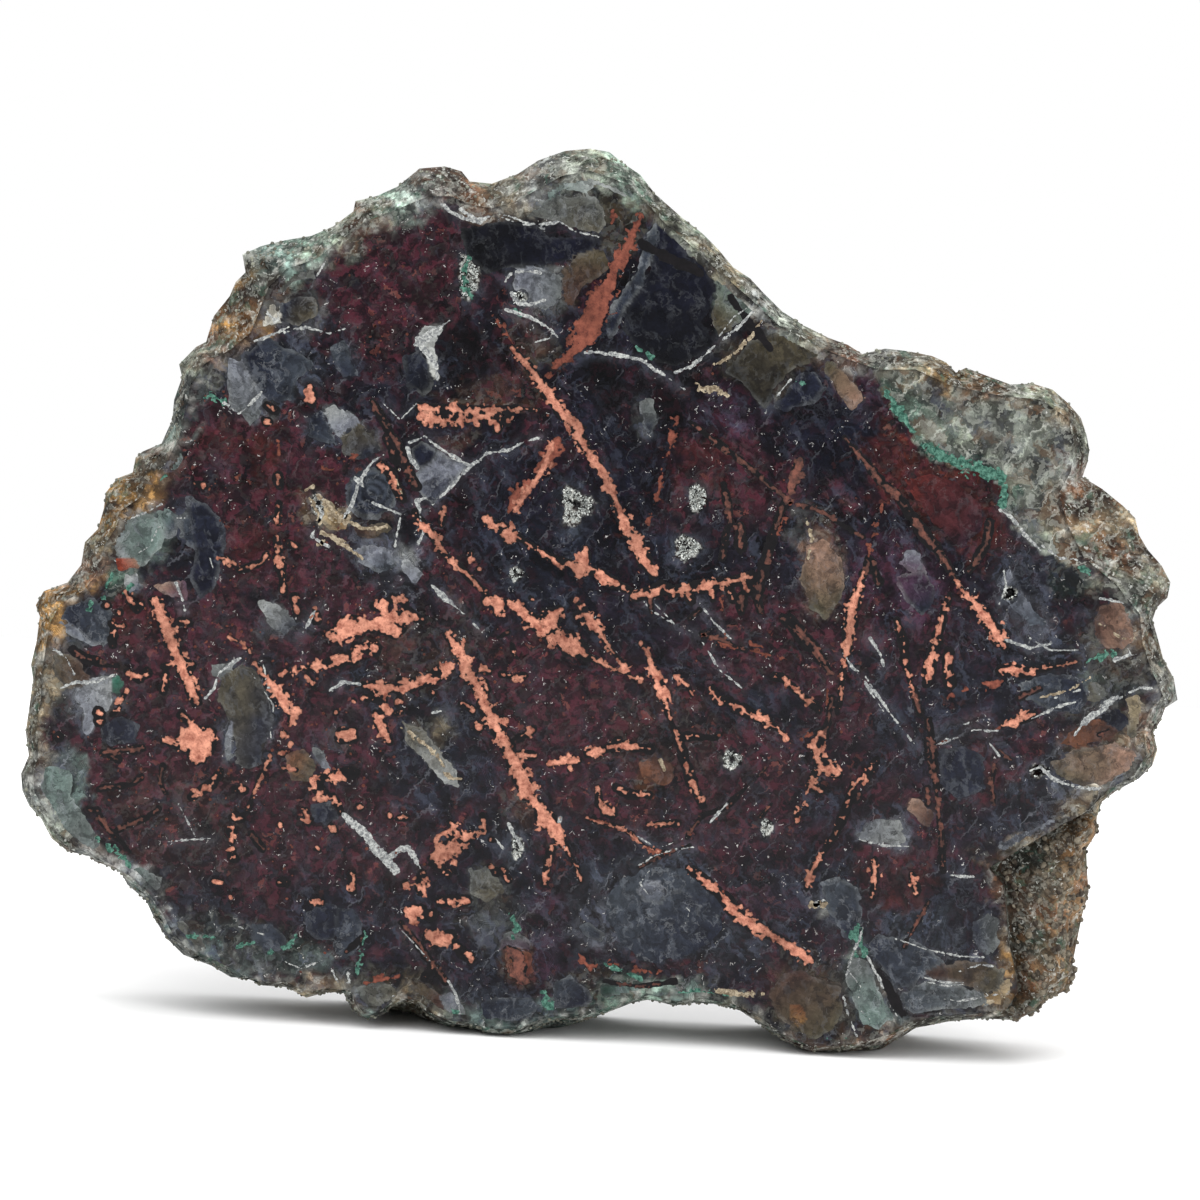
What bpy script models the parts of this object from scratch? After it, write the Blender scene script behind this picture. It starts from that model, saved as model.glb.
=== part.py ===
"""A slab of copper agate: dark chalcedony shot through with blades of native copper.

One stone, in one solid. Its front is cut and polished flat, its back is sawn flat, and between the
two runs a rough natural rind with a chipped edge, ledges and lumps. The slab stands by itself on
two feet of its lower rim, with an arch between them. A flap of the polished face overhangs a broken
hollow at the lower right. +X is to the right of the polished face, -Y is in front of it.

The outlines are drawn face-on on a sheet ruled eight squares to the millimetre, x to the right and
y down. The sheet is turned by LEAN so that both feet stand level.
"""

import math

import bmesh
import bpy
from mathutils import Vector, noise

STONE = "copper_agate_slab"

# Driving dimensions, in metres.
THICKNESS = 0.022
SQUARE_ACROSS = 0.000125
SQUARE_UP = 0.000126
LEAN = math.radians(3.45)

# The chipped edge: how deep behind the polished face the rim is widest, and how much that wanders.
EDGE_DEPTH = 0.0036
EDGE_DEPTH_WANDER = 0.0014
LEAST_BEVEL = 0.0003
LEAST_CHIP_DEPTH = 0.0002

# The edge breaks away in two steps: how far out and how far down each lies, as shares of the way
# from the polish to the rim, and how much the chips swing about that.
CHIP_STEPS = ((0.34, 0.16), (0.70, 0.48))
CHIP_SWING = 0.22
CHIP_OUTWARD = 0.5
CHIP_DOWNWARD = 0.4
CHIP_TO_LUMP = 0.6
CHIP_SHIFT = 0.01

# The rough rind between the edge and the sawn back. The small bites of the rim run out behind the
# edge, and the body of the stone behind them is fuller and lumpier.
BITE_WIDTH = math.radians(3)
BITE_RUN = 0.35
BITE_SPREAD = 0.7
LUMP_SIZE = 0.0095
LUMP_HEIGHT = 0.0034
LEDGE_SIZE = 0.0046
LEDGE_HEIGHT = 0.0012
LEDGE_SHIFT = 0.0011
LUMP_SEED = 3.1
LEDGE_SEED = 8.7
SAW_BREAK = 0.0012
BACK_INSET = 0.0006
SAWN_EDGE_LUMPS = 0.4
WALL_LEVELS = 8

# The underside keeps the full rim as it runs back, so that the slab stands on it: where that begins
# and is complete, as the sine of the direction below the hub, and how early the wall spreads there.
UNDERSIDE_BEGINS = 0.55
UNDERSIDE_SPREADS = 0.8
UNDERSIDE_COMPLETE = 0.85
UNDERSIDE_CURVE = 0.6
FOOT_SMOOTHING = 0.0035

# The broken hollow under the flap.
HOLLOW_DEPTH = 0.0024
TRENCH_DEPTH = 0.0038
TRENCH_WIDTH = 0.0007
HOLLOW_MIDDLE = 0.5
HOLLOW_END_OUT = 0.01
HOLLOW_END_IN = 0.03

LONGEST_STEP = 0.0024

# The point of the sheet that every reach of an outline is measured from.
HUB = (600, 620)

# The outermost rim, clockwise from the top.
RIM = (
    (565, 158), (590, 156), (609, 159), (622, 169), (640, 181), (655, 200), (680, 222), (702, 239),
    (717, 254), (733, 273), (750, 284), (763, 298), (782, 317), (803, 331), (828, 343), (848, 350),
    (862, 359), (885, 354), (908, 357), (932, 362), (946, 368), (956, 378), (966, 373), (988, 381),
    (1010, 389), (1032, 388), (1052, 394), (1068, 408), (1081, 423), (1087, 440), (1090, 456),
    (1088, 468), (1083, 482), (1103, 494), (1124, 511), (1136, 523), (1140, 540), (1149, 555),
    (1163, 571), (1172, 588), (1169, 603), (1158, 613), (1154, 625), (1159, 642), (1165, 664),
    (1176, 684), (1180, 706), (1168, 714), (1163, 727), (1156, 738), (1160, 756), (1155, 772),
    (1142, 785), (1118, 798), (1104, 808), (1100, 824), (1100, 842), (1090, 858), (1091, 880),
    (1093, 903), (1087, 925), (1082, 950), (1077, 975), (1080, 987), (1072, 1001), (1052, 1010),
    (1042, 1023), (1022, 1030), (985, 1028), (950, 1030), (918, 1036), (905, 1045), (880, 1055),
    (845, 1060), (815, 1061), (788, 1051), (765, 1036), (742, 1020), (715, 1012), (695, 1011),
    (675, 1014), (650, 1008), (632, 1011), (600, 1023), (586, 1029), (552, 1029), (532, 1038),
    (510, 1043), (486, 1041), (466, 1034), (448, 1034), (428, 1026), (415, 1013), (404, 1010),
    (392, 1014), (382, 1024), (364, 1029), (350, 1020), (341, 1001), (322, 1001), (304, 1006),
    (284, 995), (260, 994), (246, 987), (228, 986), (208, 974), (180, 963), (164, 947), (152, 928),
    (143, 908), (124, 892), (117, 878), (92, 869), (84, 862), (64, 859), (48, 846), (38, 826),
    (26, 813), (19, 797), (18, 780), (26, 762), (23, 738), (27, 712), (31, 685), (29, 670),
    (35, 645), (38, 622), (34, 611), (42, 597), (66, 588), (80, 570), (84, 547), (97, 534),
    (103, 514), (105, 498), (116, 484), (132, 478), (135, 463), (142, 457), (161, 449), (172, 425),
    (174, 405), (182, 383), (179, 370), (196, 353), (206, 348), (214, 322), (230, 302), (236, 288),
    (246, 278), (243, 260), (262, 252), (284, 247), (312, 242), (334, 232), (354, 217), (356, 207),
    (378, 202), (398, 193), (420, 175), (445, 173), (462, 178), (470, 188), (492, 190), (518, 180),
    (538, 167),
)

# Where the polish stops, clockwise from the top.
POLISHED = (
    (590, 175), (617, 184), (641, 202), (664, 226), (692, 250), (720, 276), (748, 300), (778, 328),
    (815, 348), (848, 362), (878, 372), (915, 372), (950, 388), (1000, 398), (1040, 402),
    (1066, 420), (1074, 448), (1070, 474), (1058, 496), (1068, 528), (1084, 560), (1116, 586),
    (1140, 616), (1143, 646), (1152, 672), (1164, 698), (1150, 712), (1145, 734), (1148, 756),
    (1136, 776), (1110, 792), (1088, 814), (1045, 838), (1015, 856), (990, 871), (1004, 886),
    (1008, 915), (1010, 945), (1016, 970), (1020, 995), (1008, 1014), (975, 1018), (940, 1020),
    (912, 1026), (892, 1038), (862, 1048), (835, 1051), (808, 1049), (784, 1038), (758, 1020),
    (735, 1008), (705, 1003), (676, 1005), (650, 999), (620, 1006), (596, 1016), (568, 1020),
    (543, 1022), (518, 1033), (492, 1033), (470, 1026), (450, 1025), (433, 1018), (420, 1006),
    (405, 1002), (391, 1006), (378, 1016), (364, 1018), (354, 1008), (349, 994), (326, 992),
    (305, 996), (286, 986), (263, 985), (240, 978), (214, 964), (186, 952), (170, 936), (160, 915),
    (146, 895), (127, 878), (102, 863), (76, 851), (57, 836), (46, 815), (33, 795), (32, 778),
    (37, 755), (36, 728), (40, 700), (42, 672), (46, 645), (50, 625), (60, 606), (84, 592),
    (100, 572), (104, 548), (116, 530), (122, 512), (140, 500), (148, 484), (166, 466), (180, 440),
    (186, 412), (192, 386), (206, 366), (232, 352), (252, 335), (262, 310), (270, 290), (288, 272),
    (318, 262), (338, 246), (365, 226), (400, 212), (430, 200), (452, 200), (470, 208), (492, 212),
    (515, 206), (540, 192), (562, 180),
)

# The sawn back, seen through the stone from the front, clockwise from the top. Its feet are drawn a
# little below the floor and are ground flat there.
SAWN = (
    (596, 188), (622, 197), (648, 221), (676, 250), (704, 272), (728, 300), (762, 328), (796, 354),
    (830, 376), (862, 390), (900, 386), (938, 394), (962, 406), (1000, 410), (1034, 420),
    (1050, 438), (1062, 468), (1058, 502), (1088, 522), (1110, 550), (1132, 576), (1142, 606),
    (1128, 638), (1140, 670), (1150, 702), (1138, 736), (1132, 764), (1104, 784), (1078, 806),
    (1074, 842), (1062, 872), (1066, 908), (1058, 944), (1050, 976), (1036, 1000), (1004, 1010),
    (962, 1016), (930, 1028), (912, 1060), (890, 1076), (850, 1077), (812, 1074), (784, 1060),
    (760, 1036), (730, 1014), (700, 1003), (668, 1001), (636, 1008), (606, 1026), (582, 1050),
    (558, 1058), (520, 1056), (480, 1053), (452, 1050), (424, 1046), (396, 1042), (368, 1034),
    (344, 1014), (318, 992), (290, 984), (262, 976), (236, 966), (208, 952), (184, 934), (170, 910),
    (150, 888), (128, 866), (104, 852), (80, 842), (62, 824), (48, 800), (46, 772), (52, 742),
    (50, 712), (56, 684), (60, 650), (64, 620), (84, 606), (104, 588), (112, 560), (126, 532),
    (134, 506), (156, 494), (168, 472), (186, 452), (196, 424), (204, 394), (222, 372), (238, 344),
    (252, 316), (268, 298), (286, 282), (316, 270), (344, 258), (368, 240), (394, 224), (428, 208),
    (462, 210), (492, 222), (524, 210), (556, 192),
)

# The two ends of the broken hollow, where the polish runs out to the rim again.
HOLLOW_FROM = (1100, 818)
HOLLOW_TO = (1018, 1016)

# Crystal-lined pits in the polished face: centre on the sheet, radius and depth in metres.
PITS = (
    ((576, 508), 0.0026, 0.0016),
    ((687, 550), 0.0017, 0.0012),
    ((697, 500), 0.0014, 0.0010),
    ((732, 762), 0.0013, 0.0009),
    ((469, 280), 0.0016, 0.0008),
    ((1040, 773), 0.0014, 0.0012),
)
PIT_SIDES = 9
PIT_FLOOR = 0.45
PIT_WOBBLE = 0.28
PIT_WOBBLE_SIZE = 0.8

COLOUR = (0.045, 0.032, 0.034, 1.0)
ROUGHNESS = 0.32


def sheet_to_slab(point, depth=0.0):
    """A point of the sheet, at a depth behind the polished face, in the turned slab."""
    across = (point[0] - HUB[0]) * SQUARE_ACROSS
    up = (HUB[1] - point[1]) * SQUARE_UP
    return Vector((
        across * math.cos(LEAN) - up * math.sin(LEAN),
        depth - THICKNESS / 2,
        across * math.sin(LEAN) + up * math.cos(LEAN),
    ))


def bearing(point):
    """The direction of a point of the sheet from the hub, in radians, anticlockwise."""
    return math.atan2(HUB[1] - point[1], point[0] - HUB[0])


def reach(outline, angle):
    """How far an outline lies from the hub in a direction, in squares."""
    along = (math.cos(angle), -math.sin(angle))
    for start, end in zip(outline, outline[1:] + outline[:1]):
        step = (end[0] - start[0], end[1] - start[1])
        across = step[0] * along[1] - step[1] * along[0]
        if abs(across) < 1e-9:
            continue
        offset = (start[0] - HUB[0], start[1] - HUB[1])
        share = (offset[1] * along[0] - offset[0] * along[1]) / across
        distance = (offset[1] * step[0] - offset[0] * step[1]) / across
        if -1e-9 <= share <= 1 + 1e-9 and distance > 0:
            return distance
    raise ValueError("an outline has a gap")


def body_reach(angle):
    """How far the body of the stone lies from the hub, inside the small bites of the rim."""
    total = 0.0
    for turn in (-1, 0, 1):
        middle = angle + turn * BITE_WIDTH * BITE_SPREAD
        total += min(reach(RIM, middle + side * BITE_WIDTH) for side in (-1, -0.5, 0, 0.5, 1))
    return min(total / 3, reach(RIM, angle))


def column_angles():
    """A column of the loft at each point of the rim, and more where those lie far apart."""
    angles = []
    for start, end in zip(RIM, RIM[1:] + RIM[:1]):
        length = math.dist(start, end) * SQUARE_ACROSS
        pieces = max(1, math.ceil(length / LONGEST_STEP))
        for piece in range(pieces):
            share = piece / pieces
            angles.append(bearing((
                start[0] + (end[0] - start[0]) * share,
                start[1] + (end[1] - start[1]) * share,
            )))
    return angles


def smooth_step(low, high, value):
    share = min(1.0, max(0.0, (value - low) / (high - low)))
    return share * share * (3 - 2 * share)


def hollow_share(angle):
    """1 inside the broken hollow, 0 outside it, with short ends."""
    first, last = bearing(HOLLOW_FROM), bearing(HOLLOW_TO)
    begins = smooth_step(first + HOLLOW_END_OUT, first - HOLLOW_END_IN, angle)
    ends = smooth_step(last - HOLLOW_END_IN, last + HOLLOW_END_OUT, angle)
    return begins * ends


def roughness_at(spot, size, seed):
    """Broken ground between 0 and 1, with sharp crests."""
    return abs(noise.noise((spot + Vector((seed, seed * 2.3, seed * 1.7))) / size))


def column(angle, floor):
    """The points of one column of the loft, from the polished face to the sawn back."""
    rim = reach(RIM, angle)
    polished = min(reach(POLISHED, angle), rim - LEAST_BEVEL / SQUARE_ACROSS)
    sawn = reach(SAWN, angle)
    hollow = hollow_share(angle)
    downward = max(0.0, -math.sin(angle))

    def at(distance, depth):
        return sheet_to_slab(
            (HUB[0] + distance * math.cos(angle), HUB[1] - distance * math.sin(angle)), depth
        )

    edge_depth = EDGE_DEPTH + EDGE_DEPTH_WANDER * noise.noise(at(rim, 0) / LUMP_SIZE)
    edge_depth += hollow * HOLLOW_DEPTH
    points = [at(polished, 0)]
    trench = TRENCH_WIDTH / SQUARE_ACROSS
    for share, fall in CHIP_STEPS:
        chip = CHIP_SWING * noise.noise(at(rim, share * CHIP_SHIFT) / (CHIP_TO_LUMP * LUMP_SIZE))
        plain = (
            polished + (rim - polished) * (share + CHIP_OUTWARD * chip),
            edge_depth * (fall + CHIP_DOWNWARD * chip),
        )
        if share < HOLLOW_MIDDLE:
            broken = (polished + trench, TRENCH_DEPTH)
        else:
            broken = (polished + (rim - polished) * HOLLOW_MIDDLE, HOLLOW_DEPTH * (1 + 2 * chip))
        points.append(at(
            plain[0] + (broken[0] - plain[0]) * hollow,
            max(LEAST_CHIP_DEPTH, plain[1] + (broken[1] - plain[1]) * hollow),
        ))
    points.append(at(rim, edge_depth))
    wall = (THICKNESS - SAW_BREAK) - edge_depth
    underside = smooth_step(UNDERSIDE_BEGINS, UNDERSIDE_COMPLETE, downward)
    body = rim + (body_reach(angle) - rim) * (1 - underside)
    for level in range(1, WALL_LEVELS + 1):
        share = level / WALL_LEVELS
        settled = rim + (body - rim) * smooth_step(0.0, BITE_RUN, share)
        spread = share if downward < UNDERSIDE_SPREADS else share ** UNDERSIDE_CURVE
        envelope = settled + (sawn - settled) * spread
        free = 1 if level < WALL_LEVELS else 0
        spot = at(envelope, edge_depth + wall * share)
        depth = edge_depth + wall * share + free * LEDGE_SHIFT * noise.noise(spot / LEDGE_SIZE)
        lump = LUMP_HEIGHT * roughness_at(spot, LUMP_SIZE, LUMP_SEED)
        lump += LEDGE_HEIGHT * roughness_at(spot, LEDGE_SIZE, LEDGE_SEED)
        lump *= smooth_step(0.0, FOOT_SMOOTHING, spot.z - floor)
        lump *= SAWN_EDGE_LUMPS + (1 - SAWN_EDGE_LUMPS) * free
        points.append(at(envelope - lump / SQUARE_ACROSS, depth))
    points.append(at(sawn - BACK_INSET / SQUARE_ACROSS, THICKNESS))
    return points


def rim_box():
    """The lowest and highest corner of the turned rim."""
    corners = [sheet_to_slab(point) for point in RIM]
    across = [corner.x for corner in corners]
    up = [corner.z for corner in corners]
    return (min(across), min(up)), (max(across), max(up))


def loft():
    """The slab's closed mesh, standing on z = 0 and centred on the other two axes."""
    low, high = rim_box()
    floor = low[1]
    offset = Vector((-(low[0] + high[0]) / 2, 0, -floor))
    form = bmesh.new()
    rings = []
    for angle in column_angles():
        points = []
        for point in column(angle, floor):
            place = point + offset
            place.z = max(0.0, place.z)
            points.append(form.verts.new(place))
        rings.append(points)
    for here, there in zip(rings, rings[1:] + rings[:1]):
        for level in range(len(here) - 1):
            form.faces.new((here[level], here[level + 1], there[level + 1], there[level]))
    form.faces.new([points[0] for points in rings])
    form.faces.new([points[-1] for points in reversed(rings)])
    bmesh.ops.triangulate(form, faces=[face for face in form.faces if len(face.verts) == 4])
    bmesh.ops.recalc_face_normals(form, faces=form.faces)
    mesh = bpy.data.meshes.new(STONE)
    form.to_mesh(mesh)
    form.free()
    return mesh, offset


def pit_cutter(name, place, radius, depth, cutters):
    """A short upside-down cone that cuts one pit into the polished face."""
    mesh = bpy.data.meshes.new(name)
    form = bmesh.new()
    bmesh.ops.create_cone(
        form, cap_ends=True, segments=PIT_SIDES, radius1=radius, radius2=radius * PIT_FLOOR, depth=2 * depth
    )
    for point in form.verts:
        wobble = 1 + PIT_WOBBLE * noise.noise(point.co / (PIT_WOBBLE_SIZE * radius) + place / LUMP_SIZE)
        point.co.x *= wobble
        point.co.y *= wobble
    form.to_mesh(mesh)
    form.free()
    cutter = bpy.data.objects.new(name, mesh)
    cutter.location = place
    cutter.rotation_euler = (-math.pi / 2, 0, 0)
    cutter.hide_render = True
    cutter.display_type = "WIRE"
    cutters.objects.link(cutter)
    return cutter


def stone_material():
    material = bpy.data.materials.new("polished_copper_agate")
    material.use_nodes = True
    shader = material.node_tree.nodes["Principled BSDF"]
    shader.inputs["Base Color"].default_value = COLOUR
    shader.inputs["Roughness"].default_value = ROUGHNESS
    shader.inputs["Metallic"].default_value = 0.0
    material.diffuse_color = COLOUR
    return material


def clear_scene():
    for old in list(bpy.data.objects):
        bpy.data.objects.remove(old, do_unlink=True)


def main():
    clear_scene()
    stones = bpy.data.collections.new("native_copper_slab")
    cutters = bpy.data.collections.new("cutters")
    for collection in (stones, cutters):
        bpy.context.scene.collection.children.link(collection)
    mesh, offset = loft()
    stone = bpy.data.objects.new(STONE, mesh)
    stone.data.materials.append(stone_material())
    stones.objects.link(stone)
    for number, (centre, radius, depth) in enumerate(PITS, start=1):
        place = sheet_to_slab(centre) + offset
        cutter = pit_cutter(f"pit_{number}", place, radius, depth, cutters)
        cut = stone.modifiers.new(f"pit_{number}", "BOOLEAN")
        cut.operation = "DIFFERENCE"
        cut.solver = "EXACT"
        cut.object = cutter


main()
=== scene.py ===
"""The looks of a free-standing slab of copper agate with blades of native copper.

The slab is polished in front, sawn behind and natural rough rind all round. Everything that lies in
its polished face is drawn face-on on a sheet ruled eight squares to the millimetre, x to the right and
y down, and the sheet is laid on the stone by the Sheet class. +Y runs into the stone from the polish.
"""

import logging
import math
from dataclasses import dataclass, field
from enum import Enum
from functools import partial

import bpy
import numpy as np
from mathutils import Matrix, Vector, noise
from mathutils.geometry import delaunay_2d_cdt


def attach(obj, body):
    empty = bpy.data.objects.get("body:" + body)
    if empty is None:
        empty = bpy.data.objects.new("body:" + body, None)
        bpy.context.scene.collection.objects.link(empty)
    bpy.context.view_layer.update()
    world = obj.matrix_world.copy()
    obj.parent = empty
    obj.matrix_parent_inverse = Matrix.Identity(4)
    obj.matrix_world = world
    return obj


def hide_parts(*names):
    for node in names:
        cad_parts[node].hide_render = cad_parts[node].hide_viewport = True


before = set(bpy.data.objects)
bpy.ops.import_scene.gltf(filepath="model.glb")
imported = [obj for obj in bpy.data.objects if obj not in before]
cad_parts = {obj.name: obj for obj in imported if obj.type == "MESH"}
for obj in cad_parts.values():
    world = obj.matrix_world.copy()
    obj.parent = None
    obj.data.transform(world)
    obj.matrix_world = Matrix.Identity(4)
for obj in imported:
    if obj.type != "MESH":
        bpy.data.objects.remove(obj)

log = logging.getLogger("copper_agate")

Array = np.ndarray
Socket = bpy.types.NodeSocket
Tree = bpy.types.NodeTree
Point = tuple[float, float]
Place = tuple[float, float, float]
Row = tuple
Stroke = tuple[Place, ...]

NODE = "copper_agate_slab"
STONE_SLOT, COPPER_SLOT, VEIN_SLOT = "polished_copper_agate", "native_copper", "quartz_vein"
MILLIMETRE = 0.001
SHEET_SQUARES = 1200
FAR = 60.0
QUARTZ_IOR = 1.54


# ---------------------------------------------------------------- colours and drawing tables


def linear(code: str) -> tuple[float, float, float, float]:
    """An sRGB hex colour as linear red, green, blue and alpha.

    Args:
        code: The colour, as # and six hex digits.

    Returns:
        The four numbers.
    """
    parts = (int(code[place:place + 2], 16) / 255 for place in (1, 3, 5))
    red, green, blue = (
        part / 12.92 if part <= 0.04045 else ((part + 0.055) / 1.055) ** 2.4 for part in parts
    )
    return (red, green, blue, 1.0)


class Tone(Enum):
    """A kind of ground in the stone: colour, then how much copper dust, milky wisps and open grain."""

    PLUM = ("#2E1F28", 0.45, 0.25, 0.0)
    MAROON = ("#46242E", 1.0, 0.15, 0.05)
    DEEP_RED = ("#5A2825", 0.6, 0.1, 0.05)
    EMBER = ("#8E402E", 0.5, 0.1, 0.1)
    BROWN = ("#45302A", 0.7, 0.2, 0.1)
    UMBER = ("#6B4430", 0.4, 0.1, 0.3)
    BLACK = ("#101115", 0.1, 0.1, 0.0)
    SLATE = ("#222633", 0.12, 0.5, 0.0)
    NAVY = ("#181A28", 0.1, 0.3, 0.0)
    BLUE_GREY = ("#3D434B", 0.05, 0.8, 0.0)
    MIST = ("#72757F", 0.0, 1.0, 0.05)
    GREY = ("#5C605F", 0.05, 0.7, 0.1)
    SILVER = ("#9A9D9B", 0.0, 0.8, 0.1)
    RIND = ("#AAB3A0", 0.0, 0.3, 1.0)
    PALE_GREEN = ("#8FA898", 0.0, 0.3, 0.7)
    SEA = ("#6C7F79", 0.0, 0.8, 0.1)
    GREEN = ("#2F6453", 0.0, 0.2, 0.6)
    DARK_GREEN = ("#20342D", 0.0, 0.2, 0.3)
    CREAM = ("#B9A988", 0.0, 0.2, 0.4)
    TAN = ("#8C6F5F", 0.1, 0.3, 0.3)
    SAND = ("#9C8D72", 0.0, 0.2, 0.6)
    OCHRE = ("#80633C", 0.0, 0.3, 0.4)
    AMBER = ("#A8804A", 0.0, 0.4, 0.1)
    RUST = ("#6F4C36", 0.1, 0.1, 0.8)
    OLIVE = ("#4E4839", 0.1, 0.3, 0.2)
    PURPLE = ("#4C3346", 0.4, 0.5, 0.0)
    WHITE = ("#C3C4BD", 0.0, 0.4, 0.3)

    @property
    def colour(self) -> Array:
        """The tone's linear colour."""
        return np.array(linear(self.value[0])[:3])

    @property
    def habits(self) -> Array:
        """How much copper dust, wisps and open grain the ground has."""
        return np.array(self.value[1:])


def entry(text: str) -> Tone | float | tuple[float, ...]:
    """One entry of a drawing table.

    Args:
        text: A tone's name, a number, or the numbers of a corner parted by commas.

    Returns:
        The tone, the number or the corner.
    """
    if text[0].isalpha():
        return Tone[text]
    numbers = tuple(float(part) for part in text.split(","))
    return numbers if len(numbers) > 1 else numbers[0]


def table(text: str) -> tuple[Row, ...]:
    """Reads a drawing table, whose rows are parted by semicolons and entries by spaces."""
    return tuple(tuple(entry(part) for part in row.split()) for row in text.split(";"))


# The outermost rim, clockwise from the top.
RIM: tuple[Point, ...] = table("""
    565,158 590,156 609,159 622,169 640,181 655,200 680,222 702,239 717,254 733,273 750,284 763,298
    782,317 803,331 828,343 848,350 862,359 885,354 908,357 932,362 946,368 956,378 966,373 988,381
    1010,389 1032,388 1052,394 1068,408 1081,423 1087,440 1090,456 1088,468 1083,482 1103,494 1124,511
    1136,523 1140,540 1149,555 1163,571 1172,588 1169,603 1158,613 1154,625 1159,642 1165,664 1176,684
    1180,706 1168,714 1163,727 1156,738 1160,756 1155,772 1142,785 1118,798 1104,808 1100,824 1100,842
    1090,858 1091,880 1093,903 1087,925 1082,950 1077,975 1080,987 1072,1001 1052,1010 1042,1023 1022,1030
    985,1028 950,1030 918,1036 905,1045 880,1055 845,1060 815,1061 788,1051 765,1036 742,1020 715,1012
    695,1011 675,1014 650,1008 632,1011 600,1023 586,1029 552,1029 532,1038 510,1043 486,1041 466,1034
    448,1034 428,1026 415,1013 404,1010 392,1014 382,1024 364,1029 350,1020 341,1001 322,1001 304,1006
    284,995 260,994 246,987 228,986 208,974 180,963 164,947 152,928 143,908 124,892 117,878 92,869 84,862
    64,859 48,846 38,826 26,813 19,797 18,780 26,762 23,738 27,712 31,685 29,670 35,645 38,622 34,611
    42,597 66,588 80,570 84,547 97,534 103,514 105,498 116,484 132,478 135,463 142,457 161,449 172,425
    174,405 182,383 179,370 196,353 206,348 214,322 230,302 236,288 246,278 243,260 262,252 284,247
    312,242 334,232 354,217 356,207 378,202 398,193 420,175 445,173 462,178 470,188 492,190 518,180
    538,167
""")[0]

# Where the polish stops.
POLISHED: tuple[Point, ...] = table("""
    590,175 617,184 641,202 664,226 692,250 720,276 748,300 778,328 815,348 848,362 878,372 915,372
    950,388 1000,398 1040,402 1066,420 1074,448 1070,474 1058,496 1068,528 1084,560 1116,586 1140,616
    1143,646 1152,672 1164,698 1150,712 1145,734 1148,756 1136,776 1110,792 1088,814 1045,838 1015,856
    990,871 1004,886 1008,915 1010,945 1016,970 1020,995 1008,1014 975,1018 940,1020 912,1026 892,1038
    862,1048 835,1051 808,1049 784,1038 758,1020 735,1008 705,1003 676,1005 650,999 620,1006 596,1016
    568,1020 543,1022 518,1033 492,1033 470,1026 450,1025 433,1018 420,1006 405,1002 391,1006 378,1016
    364,1018 354,1008 349,994 326,992 305,996 286,986 263,985 240,978 214,964 186,952 170,936 160,915
    146,895 127,878 102,863 76,851 57,836 46,815 33,795 32,778 37,755 36,728 40,700 42,672 46,645 50,625
    60,606 84,592 100,572 104,548 116,530 122,512 140,500 148,484 166,466 180,440 186,412 192,386 206,366
    232,352 252,335 262,310 270,290 288,272 318,262 338,246 365,226 400,212 430,200 452,200 470,208
    492,212 515,206 540,192 562,180
""")[0]

# The sawn back, seen through the stone from the front. Its feet are drawn a little below the floor and
# are ground flat there.
SAWN: tuple[Point, ...] = table("""
    596,188 622,197 648,221 676,250 704,272 728,300 762,328 796,354 830,376 862,390 900,386 938,394
    962,406 1000,410 1034,420 1050,438 1062,468 1058,502 1088,522 1110,550 1132,576 1142,606 1128,638
    1140,670 1150,702 1138,736 1132,764 1104,784 1078,806 1074,842 1062,872 1066,908 1058,944 1050,976
    1036,1000 1004,1010 962,1016 930,1028 912,1060 890,1076 850,1077 812,1074 784,1060 760,1036 730,1014
    700,1003 668,1001 636,1008 606,1026 582,1050 558,1058 520,1056 480,1053 452,1050 424,1046 396,1042
    368,1034 344,1014 318,992 290,984 262,976 236,966 208,952 184,934 170,910 150,888 128,866 104,852
    80,842 62,824 48,800 46,772 52,742 50,712 56,684 60,650 64,620 84,606 104,588 112,560 126,532 134,506
    156,494 168,472 186,452 196,424 204,394 222,372 238,344 252,316 268,298 286,282 316,270 344,258
    368,240 394,224 428,208 462,210 492,222 524,210 556,192
""")[0]

# The two ends of the broken hollow under the flap of the polished face.
HOLLOW_ENDS: tuple[Point, Point] = ((1100, 818), (1018, 1016))

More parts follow.
